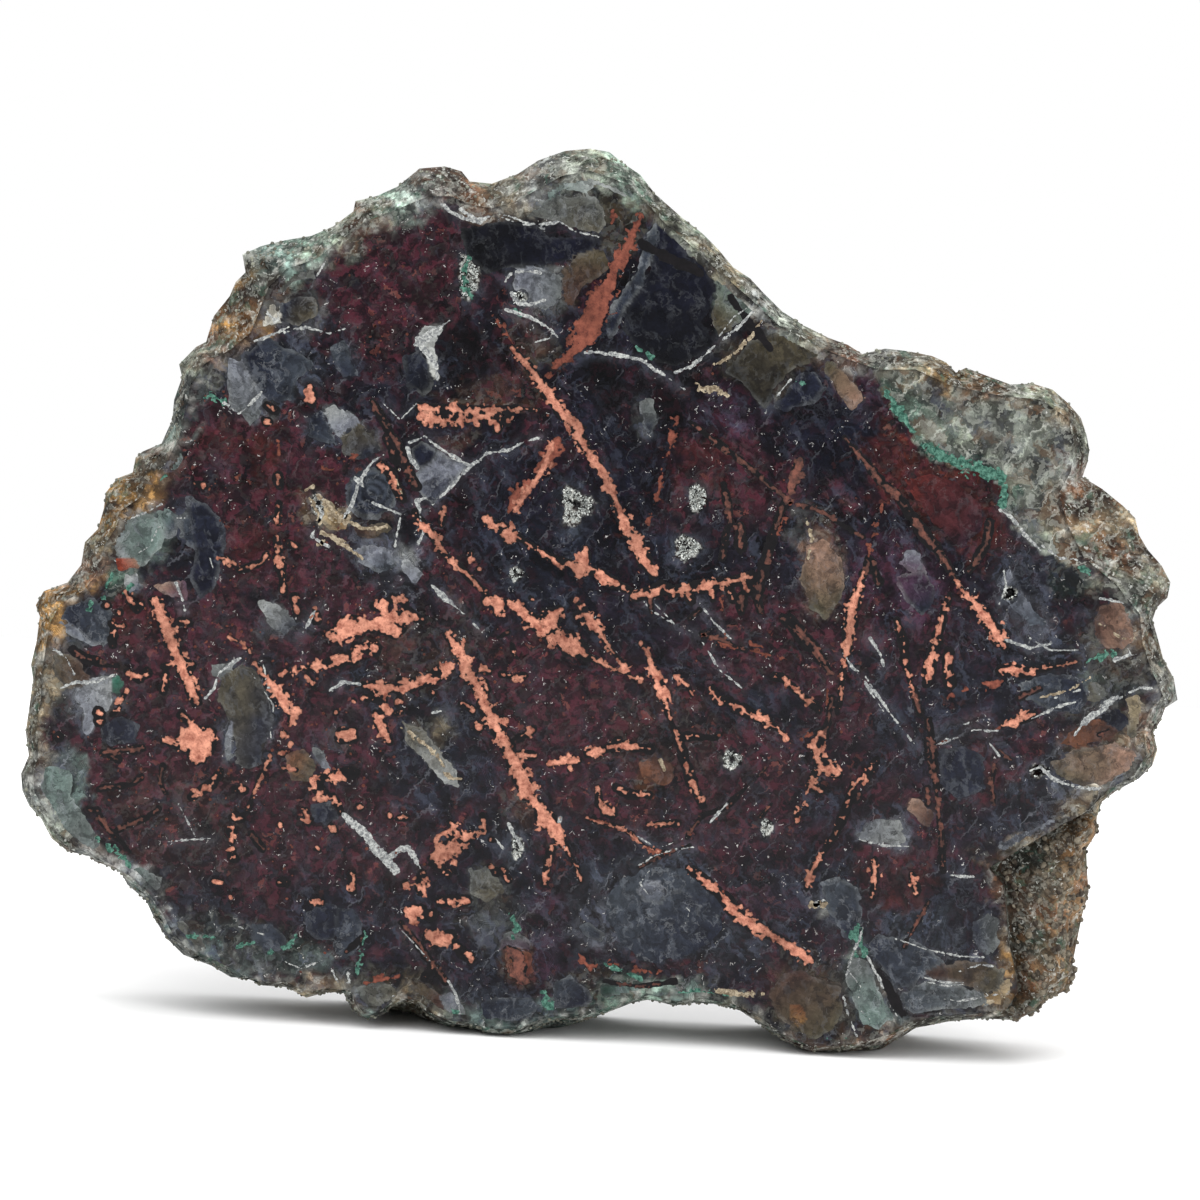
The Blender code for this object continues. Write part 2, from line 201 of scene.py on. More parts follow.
# Patches of the polished face, in the order in which they are laid: tone, centre, half sizes, turn in
# degrees and strength.
PATCHES = table("""
    MAROON 390 290 80 85 -25 .95; MAROON 260 480 95 120 0 .9; DEEP_RED 265 455 22 34 10 .75; DEEP_RED 225
    440 26 20 0 .5; DEEP_RED 245 545 30 30 0 .45; MAROON 165 700 95 130 0 .9; DEEP_RED 125 615 40 28 0 .5;
    MAROON 320 610 80 60 0 .7; MAROON 330 800 100 110 0 .75; MAROON 560 715 95 85 15 .85; MAROON 740 480
    75 60 0 .9; DEEP_RED 700 470 40 30 20 .5; MAROON 760 650 110 45 10 .8; MAROON 960 660 75 70 0 .5;
    MAROON 930 800 60 70 0 .55; MAROON 740 800 70 70 0 .6; BROWN 420 650 60 45 0 .75; BROWN 660 745 60 50
    0 .5; BROWN 180 830 70 50 20 .5; NAVY 600 600 130 50 20 .75; NAVY 575 510 70 60 0 .85; SLATE 700 560
    60 50 0 .7; NAVY 640 460 40 55 -20 .8; SLATE 950 740 70 55 0 .75; SLATE 1010 655 60 60 0 .6; SLATE
    1000 690 80 40 -10 .5; NAVY 845 450 45 50 -30 .95; NAVY 795 425 60 40 10 .9; BLACK 690 300 60 80 -35
    1; BLACK 720 330 50 60 0 .9; BLACK 798 388 26 26 0 .8; BLACK 512 243 50 32 0 1; BLACK 448 368 44 52 15
    .95; BLACK 603 382 26 34 0 .95; BLACK 655 415 26 38 0 .7; BLACK 690 400 45 32 0 .6; SLATE 425 395 30
    28 0 .8; OLIVE 615 222 34 40 0 .85; OLIVE 655 222 24 16 40 .7; OLIVE 728 294 40 14 45 .8; SEA 733 300
    20 20 45 .55; OLIVE 765 372 46 22 25 .7; OLIVE 540 350 26 22 0 .7; BROWN 520 335 34 22 20 .75; BROWN
    495 392 42 16 0 .8; UMBER 482 402 50 11 0 .7; UMBER 455 445 30 12 0 .35; GREY 300 308 27 22 10 .7;
    OLIVE 300 272 28 14 -20 .7; BLUE_GREY 262 372 58 34 5 .95; GREY 258 385 26 26 20 .6; MIST 252 397 13
    15 0 .5; BLUE_GREY 345 362 14 20 -15 .6; BLUE_GREY 340 437 34 20 15 .75; SILVER 340 420 18 8 25 .85;
    OLIVE 360 446 18 12 0 .6; SLATE 372 494 28 28 0 .95; CREAM 330 522 20 11 -10 .6; CREAM 336 520 9 9 0
    .9; OCHRE 318 508 12 14 0 .5; OCHRE 372 528 20 7 0 .4; BLUE_GREY 385 560 46 30 20 .8; MIST 372 552 26
    16 25 .6; SILVER 402 562 14 9 40 .7; SLATE 196 545 26 52 0 .85; BLUE_GREY 188 508 22 16 0 .5; SEA 140
    541 30 29 0 1; SEA 162 532 14 20 0 .6; PALE_GREEN 122 586 14 12 0 .8; GREEN 108 588 9 12 0 .6; SILVER
    131 589 7 9 0 .8; GREY 270 623 16 16 0 .5; BLUE_GREY 290 622 30 20 0 .6; BLUE_GREY 84 622 30 26 20
    .95; GREY 70 645 22 18 30 .5; GREY 92 702 34 24 -15 .7; MIST 98 694 22 14 -25 .85; SILVER 104 690 12 8
    -25 .5; BLUE_GREY 84 728 10 16 0 .6; SEA 62 800 26 46 -8 .95; MIST 54 772 12 26 0 .5; PALE_GREEN 74
    842 24 14 25 .5; SLATE 250 712 28 48 8 1; MIST 226 742 8 24 -8 .55; SILVER 227 670 12 5 -45 .8;
    BLUE_GREY 262 748 10 20 -20 .6; SLATE 440 755 52 62 0 .9; OLIVE 432 730 20 22 25 .7; CREAM 437 726 10
    8 25 .35; GREY 340 745 12 14 0 .5; SLATE 540 560 60 40 20 .6; GREY 490 915 27 42 10 .65; OLIVE 485 895
    18 22 0 .4; DARK_GREEN 520 930 14 22 0 .6; PURPLE 540 940 28 50 0 .6; UMBER 518 966 17 24 10 .75;
    EMBER 520 968 9 14 10 .35; UMBER 520 812 18 26 0 .45; UMBER 658 773 17 14 0 .85; OCHRE 655 768 8 8 0
    .4; BLUE_GREY 640 905 74 46 0 .85; MIST 660 905 40 30 0 .8; MIST 600 930 22 24 0 .5; SILVER 655 895 18
    12 20 .4; BLUE_GREY 720 945 52 30 10 .6; DARK_GREEN 600 985 60 14 0 .6; SEA 640 992 50 8 0 .6;
    PALE_GREEN 720 996 44 6 -3 .7; PALE_GREEN 640 1004 34 5 0 .6; BLACK 720 1010 34 8 10 .6; OLIVE 812
    1005 42 44 0 .85; BROWN 800 985 36 30 0 .5; OCHRE 806 1020 18 18 0 .6; GREY 876 985 22 50 -18 .75;
    PALE_GREEN 862 955 12 20 0 .7; SAND 868 975 10 26 -25 .5; SEA 888 1025 20 16 0 .6; BLUE_GREY 915 950
    50 40 0 .8; GREY 960 1000 58 22 0 .85; MIST 955 985 34 9 5 .6; SILVER 945 1012 30 6 0 .4; OCHRE 1000
    1010 18 12 0 .7; BLUE_GREY 840 900 30 30 0 .6; WHITE 818 907 8 7 0 .8; BLUE_GREY 885 830 34 18 10 .7;
    MIST 890 834 22 12 12 .75; DEEP_RED 900 880 36 24 0 .6; DEEP_RED 980 770 20 60 0 .4; BLUE_GREY 1045
    800 52 36 -30 .85; SLATE 990 830 40 30 0 .6; GREY 1085 775 34 24 -20 .6; OLIVE 1110 740 44 44 0 .9;
    UMBER 1085 735 30 9 -20 .85; BROWN 1095 735 36 16 -20 .6; SAND 1128 738 14 24 20 .5; OLIVE 1115 650 44
    44 0 .85; BLUE_GREY 1060 665 40 34 0 .6; SEA 1100 690 34 18 0 .4; GREY 1100 630 30 16 30 .5; SLATE
    1050 600 40 40 0 .7; MIST 1022 612 22 34 -25 .5; MIST 1012 588 12 18 -25 .6; DARK_GREEN 1072 583 24 16
    20 .8; BLUE_GREY 1030 560 34 40 -30 .6; PURPLE 905 585 34 48 -25 .85; PURPLE 880 560 22 18 0 .5;
    PURPLE 730 418 40 24 10 .7; PURPLE 860 385 22 24 30 .6; GREY 648 420 10 18 -10 .6; GREY 808 530 24 26
    0 .6; TAN 822 578 22 40 5 .95; SAND 822 585 12 26 0 .5; EMBER 824 561 14 7 0 .8; MAROON 805 600 12 30
    0 .6; DEEP_RED 925 480 64 44 30 .9; DEEP_RED 955 515 50 36 30 .8; EMBER 942 498 30 15 35 .65; EMBER
    905 455 18 8 35 .5; DEEP_RED 990 540 30 26 0 .5; GREY 535 292 30 21 0 .9; SILVER 548 285 12 12 0 .45;
    WHITE 520 288 9 14 -15 .7; SEA 560 200 40 14 -20 .6; SAND 520 214 30 12 15 .6; SAND 470 214 26 9 10
    .6; SEA 420 216 26 9 -15 .5; GREY 262 962 92 22 12 .8; SEA 300 965 50 18 5 .7; DARK_GREEN 240 940 70
    14 8 .6; GREY 140 880 26 12 30 .5; SLATE 340 905 60 28 0 .7; OLIVE 400 995 44 20 10 .8; GREY 372 1000
    18 14 0 .5; BLUE_GREY 505 1015 44 20 5 .8; SLATE 470 985 40 24 0 .5; SEA 448 1012 16 18 20 .5
""")

# The pale rind inside the polish at the right, and the patches in it.
RIND_AREA: tuple[Point, ...] = table("""
    862,360 880,392 903,428 925,452 962,474 1004,492 1000,512 1022,524 1045,552 1064,566 1086,566 1072,530
    1062,496 1078,470 1082,440 1070,410 1040,392 1000,388 950,378 915,362 878,360
""")[0]
RIND_PATCHES = table("""
    OCHRE 126 500 26 18 -20 .85; OCHRE 54 612 18 11 0 .8; SILVER 1030 460 55 46 20 .35; GREEN 906 412 12
    34 -35 .8; PALE_GREEN 926 424 16 38 -45 .6; GREEN 962 462 44 11 25 .9; DARK_GREEN 985 470 24 8 15 .6;
    WHITE 940 440 34 5 40 .5; GREY 940 408 34 14 30 .5; SILVER 985 430 34 12 20 .4; SAND 1010 402 40 8 8
    .7; WHITE 1000 400 40 4 8 .5; GREEN 1004 500 10 18 10 .6; WHITE 1002 514 12 8 0 .6; GREY 1030 530 16
    34 -35 .6; SAND 1064 520 14 40 -20 .7; RUST 1076 545 12 26 -25 .6; SAND 915 366 44 6 5 .6
""")

# Points of the rim and the tone that it has there.
RIM_TONES = table("""
    RIND 590,156; PALE_GREEN 622,169; OLIVE 655,200; RIND 702,239; SAND 733,273; SILVER 763,298; RIND
    803,331; TAN 848,350; GREY 885,354; SAND 932,362; OCHRE 966,373; RUST 1010,389; RIND 1032,388; SAND
    1068,408; RIND 1087,440; SILVER 1088,468; RUST 1103,494; SAND 1136,523; RUST 1149,555; RIND 1172,588;
    GREY 1158,613; SAND 1159,642; SILVER 1180,706; TAN 1156,738; SAND 1160,756; SILVER 1142,785; SAND
    1104,808; OCHRE 1100,842; SAND 1091,880; OLIVE 1093,903; RUST 1082,950; SAND 1077,975; AMBER
    1072,1001; OCHRE 1042,1023; GREY 985,1028; OLIVE 918,1036; RUST 880,1055; OLIVE 845,1060; GREY
    788,1051; OLIVE 742,1020; SEA 695,1011; PALE_GREEN 650,1008; DARK_GREEN 600,1023; SEA 552,1029;
    DARK_GREEN 510,1043; SEA 466,1034; OLIVE 428,1026; SAND 392,1014; SEA 364,1029; GREY 341,1001; SAND
    304,1006; GREY 260,994; SEA 208,974; BLUE_GREY 164,947; GREY 124,892; SILVER 84,862; RIND 48,846;
    SILVER 19,797; SAND 23,738; SAND 29,670; AMBER 38,622; AMBER 42,597; TAN 80,570; CREAM 84,547; AMBER
    97,534; AMBER 105,498; AMBER 132,478; GREY 142,457; SEA 172,425; GREY 182,383; RIND 179,370; TAN
    206,348; AMBER 214,322; OCHRE 236,288; OLIVE 246,270; SEA 262,252; PALE_GREEN 312,242; RUST 354,217;
    PALE_GREEN 378,202; SILVER 420,175; RUST 462,178; SAND 492,190; SILVER 538,167
""")

# Broken pieces of older agate in the ground: the tones at the two ends, the direction from one to the
# other in degrees, how pale the rim is, how strong the bands are, and the outline.
FRAGMENTS = table("""
    SLATE BLUE_GREY 0 .2 .1 244,359 269,336 285,350 306,357 315,368 299,380 292,401 278,405 265,398
    253,380; MIST GREY 90 .3 .1 230,362 244,366 253,382 265,401 260,422 251,431 244,415 230,412; SILVER
    MIST 60 .2 .05 322,409 334,407 355,417 359,426 345,433 338,438 329,424; SLATE BLUE_GREY 40 .1 .1
    311,419 322,412 332,431 338,447 322,445 308,438; OLIVE SLATE 60 .1 .1 341,442 359,426 373,438 380,452
    359,461 345,456; BLUE_GREY SLATE 70 .1 .1 332,350 345,343 352,359 359,378 345,380 334,364; OLIVE GREY
    20 .3 .05 246,265 267,251 285,253 315,262 318,283 299,285 285,297 272,299 253,285; SLATE OLIVE 30 .2
    .15 281,306 299,297 318,302 318,320 299,329 283,322; SAND WHITE 40 .4 0 251,290 260,288 272,304
    281,315 283,325 265,330 253,327; SLATE BLACK 80 .2 .12 405,359 419,352 431,364 433,392 422,398
    408,387; SILVER WHITE 60 .4 0 419,336 429,330 445,326 434,344 436,362 439,381 432,378 425,352; SLATE
    NAVY 60 .6 .1 410,451 422,442 440,454 433,465 419,472 412,461; MIST SLATE 100 .5 .15 438,454 468,468
    450,490 433,509 419,495 415,475 431,465; NAVY BLUE_GREY 300 .3 .55 347,486 358,474 374,470 390,478
    398,493 393,510 378,520 360,518 348,506; CREAM OCHRE 30 .3 .2 318,500 330,503 340,514 350,520 344,529
    330,530 320,520; BROWN OLIVE 0 .1 .2 352,524 368,528 384,524 392,530 376,540 358,538; MIST BLUE_GREY
    80 .3 .2 355,553 373,546 392,553 396,569 378,574 359,562; SILVER MIST 70 .2 0 401,553 412,562 422,576
    415,585 403,572; OLIVE GREY 250 .2 .1 528,220 553,200 583,198 600,205 605,225 600,238 583,235 558,225;
    SEA SILVER 300 .2 .1 545,186 573,176 600,176 624,190 640,205 610,192 595,190 583,198 563,193 550,204;
    BLACK NAVY 0 .1 0 462,232 500,224 540,230 550,241 583,240 600,243 583,263 550,268 520,270 486,276
    466,256; MIST GREY 20 .4 .15 515,275 533,270 560,278 563,300 545,313 528,305 513,298; BROWN OLIVE 300
    .1 0 563,275 575,258 605,250 610,270 583,290 573,313 563,305; NAVY BLACK 90 .05 0 657,215 672,228
    690,260 706,275 716,292 710,310 700,325 716,344 700,358 675,370 653,363 633,345 622,330 627,310
    642,290 652,263 655,233; OLIVE SEA 330 .2 .05 718,280 740,275 760,295 763,303 740,325 720,338 710,320
    715,300; OLIVE BROWN 60 .1 0 675,228 695,233 718,255 725,268 713,270 690,258 680,245; OLIVE BLACK 120
    .2 .05 750,343 778,335 815,340 820,360 795,370 775,390 765,413 745,390 725,375; NAVY SLATE 330 .2 .1
    795,375 815,373 825,390 813,405 785,413 773,410 788,390; SLATE BLUE_GREY 280 .4 .1 655,225 660,240
    652,262 642,290 626,311 617,332 610,340 605,325 618,300 635,275 643,245; OLIVE TAN 60 .2 0 825,360
    848,375 863,400 850,410 833,390 823,373; SLATE BLUE_GREY 30 .3 .1 66,607 84,600 101,603 113,615
    112,640 104,648 88,645 72,632 58,620; MIST BLUE_GREY 40 .3 0 54,622 66,622 82,633 96,648 84,646
    66,634; MIST SILVER 330 .2 .1 75,690 90,680 103,676 116,678 110,690 112,706 98,722 88,735 80,735
    84,712 72,700; GREEN DARK_GREEN 90 .1 0 111,680 118,676 122,684 117,697 110,694; OLIVE BROWN 0 .2 .15
    50,655 70,655 82,668 92,678 84,688 70,692 56,682; SEA GREY 60 .2 .1 44,768 68,772 70,800 84,820 98,850
    84,852 60,844 48,826 40,800; SLATE OLIVE 200 .15 .12 222,678 240,666 252,668 262,685 272,705 272,730
    262,750 262,765 248,772 236,768 234,745 226,720 217,700; SILVER GREY 120 .2 0 212,668 228,666 237,662
    230,672 222,680 214,678; MIST GREY 90 .1 0 226,726 232,722 233,745 231,765 226,765 224,745; UMBER
    OLIVE 30 .1 .1 284,758 302,752 316,766 308,784 290,782; GREY MIST 60 .2 0 313,748 322,755 330,772
    322,770 314,760; SEA GREY 20 .3 .1 118,876 140,872 160,880 158,890 140,896 126,890; GREY OLIVE 60 .2
    .1 158,925 180,925 200,945 205,962 185,962 170,950; BLUE_GREY SLATE 20 .2 .1 250,925 270,925 285,940
    280,955 262,955 250,940; SLATE NAVY 20 .1 .1 302,915 325,905 345,910 350,940 320,945 304,935; SLATE
    NAVY 0 .1 0 312,808 330,806 338,820 325,828 312,824; NAVY SLATE 0 .1 0 100,725 122,718 138,728 135,745
    110,748 100,740; SILVER SLATE 40 .1 0 258,604 272,604 288,612 296,626 284,638 268,626; GREY SEA 0 .5
    .05 118,530 128,524 144,516 156,518 164,535 160,550 150,562 142,568 130,558 118,556; SEA BLUE_GREY 20
    .4 .05 158,514 170,512 178,522 178,532 168,540 164,530; BLUE_GREY SLATE 60 .4 .1 180,520 195,513
    202,520 212,530 206,545 190,550 182,540; SILVER MIST 60 .1 0 126,577 137,577 138,584 131,594 126,586;
    EMBER TAN 0 0 0 118,562 136,560 138,570 122,571; TAN PURPLE 20 .2 0 155,588 170,583 186,584 186,600
    168,598; GREY SEA 60 .4 .1 156,466 166,452 180,448 184,458 176,470 164,476; SLATE NAVY 90 .2 .1
    188,500 205,505 220,520 225,545 215,590 200,600 190,580 196,552 190,530; SLATE BLUE_GREY 90 .1 .1
    335,910 352,912 362,930 358,955 345,965 332,955; GREY OLIVE 0 .2 .1 354,992 372,985 392,990 404,1000
    390,1004 378,1012 362,1014 356,1006; OLIVE BROWN 0 .1 .1 404,990 420,985 440,1000 444,1016 432,1010
    418,1002; MIST GREY 60 .3 0 438,1002 450,996 462,1008 464,1022 450,1020; SLATE BLUE_GREY 20 .2 .1
    480,1006 500,1000 530,1000 542,1010 530,1022 510,1026 482,1022; GREY PURPLE 90 .3 .2 498,942 514,936
    528,944 531,954 515,951 500,953; UMBER DEEP_RED 80 .1 .1 502,953 515,952 530,955 535,975 522,990
    508,975; GREY OLIVE 40 .2 .1 468,872 485,866 500,880 502,895 486,905 470,895; BLUE_GREY SLATE 50 0 .1
    605,905 622,880 650,868 680,870 705,885 722,905 722,930 705,950 690,960 660,966 636,962 618,940
    606,922; MIST BLUE_GREY 60 .2 .2 636,895 645,884 660,884 668,895 662,908 645,905; BLUE_GREY SLATE 40
    .3 .1 580,930 590,925 603,935 602,945 588,943; BLUE_GREY NAVY 60 .3 .15 552,985 570,978 586,990
    594,1004 584,1012 568,1014 556,1010; DARK_GREEN SEA 0 .3 0 600,988 620,985 638,990 640,996 615,1000
    600,1002; BLUE_GREY SLATE 60 .2 .1 822,885 840,880 858,890 862,915 862,935 850,945 838,930 826,905;
    SLATE BLUE_GREY 20 .3 .12 868,945 880,938 910,942 930,952 945,965 930,975 915,990 895,992 885,975
    872,960; BLUE_GREY GREY 0 .5 .15 902,998 925,985 960,988 985,998 990,1008 970,1012 940,1014 915,1018
    905,1012; BROWN OLIVE 0 .2 .1 925,975 950,968 985,965 1005,975 1000,995 985,996 960,986 935,983; OCHRE
    SAND 0 .1 0 985,1000 1000,994 1012,984 1014,996 1002,1008; BROWN OLIVE 60 .15 .1 775,985 800,972
    825,985 842,990 845,1012 835,1034 815,1044 794,1034 776,1016 768,1000; UMBER OCHRE 90 0 .1 790,1008
    803,1010 808,1024 800,1032 790,1022; GREY SEA 60 .5 .1 846,965 860,958 870,965 878,985 888,1008
    892,1022 880,1034 862,1028 855,1008 846,985; SLATE SILVER 40 .3 0 856,838 875,825 900,822 908,845
    895,848 870,844; SLATE MIST 330 .2 .1 996,850 1020,836 1050,822 1062,824 1030,838 1008,852; SLATE GREY
    0 .1 0 975,925 990,915 1000,922 1000,948 990,960 975,945; DEEP_RED PLUM 60 0 .1 905,482 930,476
    955,482 982,505 982,530 962,548 944,536 926,516; MIST PURPLE 90 .2 0 899,566 907,552 921,554 925,570
    912,574; PURPLE SLATE 60 .3 .1 893,577 906,575 926,573 935,590 932,605 922,618 905,600; MIST BLUE_GREY
    60 0 .1 1000,578 1010,572 1018,588 1032,610 1044,624 1030,626 1012,610 1003,598; BLUE_GREY SLATE 340
    .2 .25 1020,685 1050,675 1080,680 1088,700 1080,715 1050,712 1025,700; OLIVE GREY 0 .1 .1 1088,682
    1105,685 1114,696 1100,705 1090,702; BROWN TAN 0 .1 .1 1098,608 1116,602 1132,622 1134,642 1122,652
    1105,650 1095,630; OLIVE TAN 0 .2 .15 1052,765 1075,752 1110,746 1138,752 1134,768 1110,784 1086,788
    1062,780; UMBER BROWN 0 0 .1 1062,745 1080,728 1105,722 1118,733 1100,744 1080,750; BLACK NAVY 0 0 0
    1098,715 1120,711 1132,724 1122,733 1105,724; SAND OLIVE 90 .2 0 1124,700 1138,696 1146,710 1136,740
    1126,738 1132,720; NAVY SLATE 60 .1 .1 940,755 965,748 985,760 985,790 960,805 942,790; TAN BROWN 30
    .1 0 908,802 922,803 935,818 930,830 918,820 908,812; UMBER BROWN 300 0 .1 641,766 656,758 671,765
    674,780 664,789 646,784; OLIVE SILVER 60 .2 .1 403,724 422,732 440,753 457,778 459,790 445,785 425,762
    408,745; TAN OLIVE 90 .1 .15 806,547 822,541 838,555 845,580 840,605 825,620 809,609 801,580; GREY
    SLATE 90 .3 .1 640,404 652,402 658,424 650,438 642,428
""")

# Blades of native copper, as points of their middle line with the width there. A single point is a dot.
BRIGHT_BLADES = table("""
    512,350,6 526,366,8 540,384,9 554,404,11 564,418,12 578,430,13 577,437,11 590,457,10 605,479,10
    611,492,13; 608,485,9 615,501,8 619,513,8 624,522,15 628,535,9 638,541,14 640,553,15 646,566,15
    654,575,8; 421,410,9 440,411,8 460,412,8 480,412,7 500,412,7 516,411,6 538,412,2; 424,418,14
    435,422,13 446,422,8; 454,414,5 456,428,5; 464,414,6 467,424,4; 474,414,8 478,428,7; 488,414,8
    490,424,8; 496,414,9 498,432,8; 508,414,7 508,424,6; 416,515,6 423,527,10 434,538,10 441,550,7
    450,562,6 465,574,6 478,588,5 486,596,3; 488,603,13 500,606,15 497,614,10; 509,605,9 519,612,13
    530,621,14 540,629,12; 543,634,12 551,626,17 553,618,16 560,612,7; 550,640,10 560,641,14 571,647,20
    580,652,13; 584,657,6 594,661,5 604,666,6 614,671,5 624,675,3 634,680,4 641,681,5; 487,521,11
    493,528,10 501,526,6 506,533,14 514,540,10 508,543,8; 514,536,6 526,545,3 536,551,5 546,557,6
    556,563,8 563,570,7; 562,562,6 574,568,10 580,574,15 584,562,12 585,551,9; 584,572,9 596,573,8
    606,580,13 616,586,9 628,592,5; 634,598,9 646,595,8 656,594,10 662,588,8 672,593,7 684,592,8;
    684,591,8 696,589,8 708,588,12 716,586,8 728,584,6 742,581,6 752,577,6; 688,596,6 691,604,5; 712,592,4
    713,600,3; 728,590,6 733,601,4; 744,584,4 748,593,3; 575,602,5 582,611,9 588,620,12 593,627,14
    600,634,7 606,644,5 613,654,4 620,663,5 626,672,11; 578,618,7 586,616,8; 641,645,5 648,655,6 652,666,8
    656,678,11 660,690,12 664,701,10 667,711,6 672,725,4 678,742,4 683,757,5 688,772,6 692,784,9 698,796,6
    703,808,4; 675,678,5 682,682,6 688,688,5 693,697,4; 711,690,5 716,700,4 722,705,4; 726,702,5 738,709,8
    748,715,8 760,720,9 770,724,8 780,733,6 792,745,4; 687,738,3 718,739,3; 776,678,6 784,680,7 792,688,6
    801,697,6 810,704,9 819,712,6; 846,660,5 842,680,6 841,699,5 838,715,4; 864,574,5 858,592,8 854,605,11
    851,620,11 849,635,10 847,655,9; 897,622,4 903,645,6 906,666,6 911,684,4 917,704,2; 946,600,4
    943,618,5 937,640,6 933,655,8 929,672,9 927,685,5; 948,655,7 948,672,7 950,686,8; 955,582,5 966,596,7
    977,607,9 984,616,12 992,628,15 998,638,14 1004,648,7; 1002,672,8 1013,671,9 1028,674,8 1040,671,5
    1056,668,3 1077,664,2; 1003,728,5 1014,724,9 1024,720,10 1034,716,6; 876,763,4 869,775,5 864,786,4;
    854,787,4 850,801,5 844,818,6 834,839,6 822,858,5 812,874,6 808,890,5; 821,735,10 817,750,11
    818,762,12 828,770,11 838,776,9; 815,774,5 811,788,7 820,792,8; 798,811,7 798,824,6; 875,862,5
    876,878,9 873,901,4; 913,878,7 917,896,7; 688,870,6 699,879,8 708,886,9 718,894,8 726,903,9 736,915,10
    748,925,12 760,932,11 774,938,9 790,949,9 800,956,11 812,964,10; 447,636,7 456,648,12 463,660,11
    466,672,13 474,684,12 482,696,12 484,708,13 492,720,13 498,732,14; 500,736,13 507,748,11 512,760,13
    518,772,15 522,784,18 526,794,20; 531,800,12 540,812,12 546,822,20 556,833,16 562,846,8; 478,728,10;
    502,724,12; 481,672,7 489,673,6; 503,676,6 510,678,6; 516,680,9 524,678,7; 485,683,5 487,692,5;
    533,732,6 521,740,7; 462,706,5 472,712,6; 517,756,6 534,758,8; 566,850,4 574,866,3 581,883,4;
    552,850,6 548,865,7 544,886,6; 450,825,7 456,834,9 462,843,8; 470,838,11 456,843,13 440,850,12;
    456,850,13 444,857,15 432,862,12; 435,865,8 446,877,7; 482,818,5 484,835,5; 490,842,6; 463,843,3
    482,832,3; 440,904,8 466,904,8; 428,940,12 440,943,15 450,940,10; 455,950,8 470,962,9; 408,914,12
    418,916,15; 430,918,9; 421,876,8 420,886,14 420,894,9; 405,888,9; 490,869,6 495,876,6; 503,873,7
    508,884,6; 431,970,5 424,981,5; 598,790,5 599,805,6 606,812,12 611,815,9; 616,789,7 627,795,7
    640,797,6 649,797,5; 587,820,5 602,826,5 620,830,4 633,839,4 645,849,4 661,855,4; 648,827,4 679,826,4;
    550,765,8 565,764,9 579,763,8; 570,770,9; 588,756,10 604,752,9; 608,750,7 620,747,9 632,749,8
    650,751,6; 618,742,6; 444,510,6 442,528,5; 457,518,4; 472,553,5 470,563,6; 479,571,5; 511,647,5
    516,659,5; 532,601,6; 543,613,5 549,613,6; 335,636,8 341,628,14 352,626,16 360,633,10; 364,627,12
    371,629,12; 384,627,18 396,631,16; 376,607,8 384,606,12; 393,599,9 404,602,9; 398,616,8 408,615,9
    416,619,8; 422,621,6; 330,634,5 338,641,6; 353,662,8 357,651,9 366,650,8 376,652,8; 280,676,5
    292,672,6 304,670,7; 308,670,6 318,670,8; 326,667,8 337,663,10 347,660,10; 307,676,4 314,690,5;
    449,668,12 438,676,14 428,682,12; 424,683,9 412,686,10 400,684,8; 396,690,10 386,690,9 374,688,8
    364,688,7; 382,697,8 384,711,7; 365,699,8 375,700,7; 398,704,9; 395,715,3 402,712,3; 354,703,5;
    433,695,6; 375,716,6 381,730,13 389,743,7; 342,738,14 350,737,15; 336,714,7; 312,782,9 326,780,10
    340,778,10 353,775,8; 316,785,9 321,798,16; 333,798,5 340,815,5; 282,770,5 295,772,5; 304,813,8
    308,824,9; 279,827,7; 332,831,10; 389,818,7; 398,820,5 406,820,5; 359,809,7; 317,851,6; 155,604,11
    161,616,13 167,630,14 172,645,13 177,658,12 184,674,13 190,688,13 196,703,9; 180,623,7 188,624,7;
    184,664,6 192,666,6; 170,666,4 163,668,4; 165,677,6 163,693,6; 184,744,20 196,742,32 206,738,20
    198,756,24; 190,726,8 181,716,5; 163,742,6 176,748,6; 221,773,4 210,786,7 198,795,8 190,800,5;
    234,792,6 243,792,8; 228,639,4 245,647,3 250,655,4; 255,664,5 266,680,7 274,690,10 282,702,13
    288,715,6; 296,711,9 290,725,8; 284,737,11; 290,746,8; 282,755,9; 270,758,3 262,775,3 255,791,4
    250,803,3 246,813,3; 231,820,6 241,820,7; 230,831,7 231,843,6; 231,852,6 232,861,7; 212,885,6
    219,885,6; 278,885,7 285,885,8; 351,878,8 351,893,8; 229,900,6; 312,905,7 319,906,8; 218,560,4
    227,562,8 235,566,5; 239,572,5 250,568,8 262,563,6 266,557,8; 277,560,9 280,567,12; 282,572,5
    283,592,6; 278,478,6 279,486,5; 279,505,5 278,526,6; 277,540,6 279,553,7; 290,545,6 296,548,6;
    294,600,7 297,614,7; 315,610,6 317,622,7; 268,408,6 275,412,6; 268,424,8; 311,390,8 313,404,9;
    196,486,6 204,487,7; 126,693,6 122,700,7 116,704,6; 119,710,4 112,716,3; 99,714,8; 99,724,8; 127,675,7
    139,681,8; 147,675,8; 58,739,5; 107,607,8; 119,615,6; 112,624,4 116,628,4 123,628,4; 114,633,4
    113,647,4; 126,594,6 131,603,7 137,611,5; 141,607,7; 381,467,7 391,474,7 396,487,6 402,501,5
""")

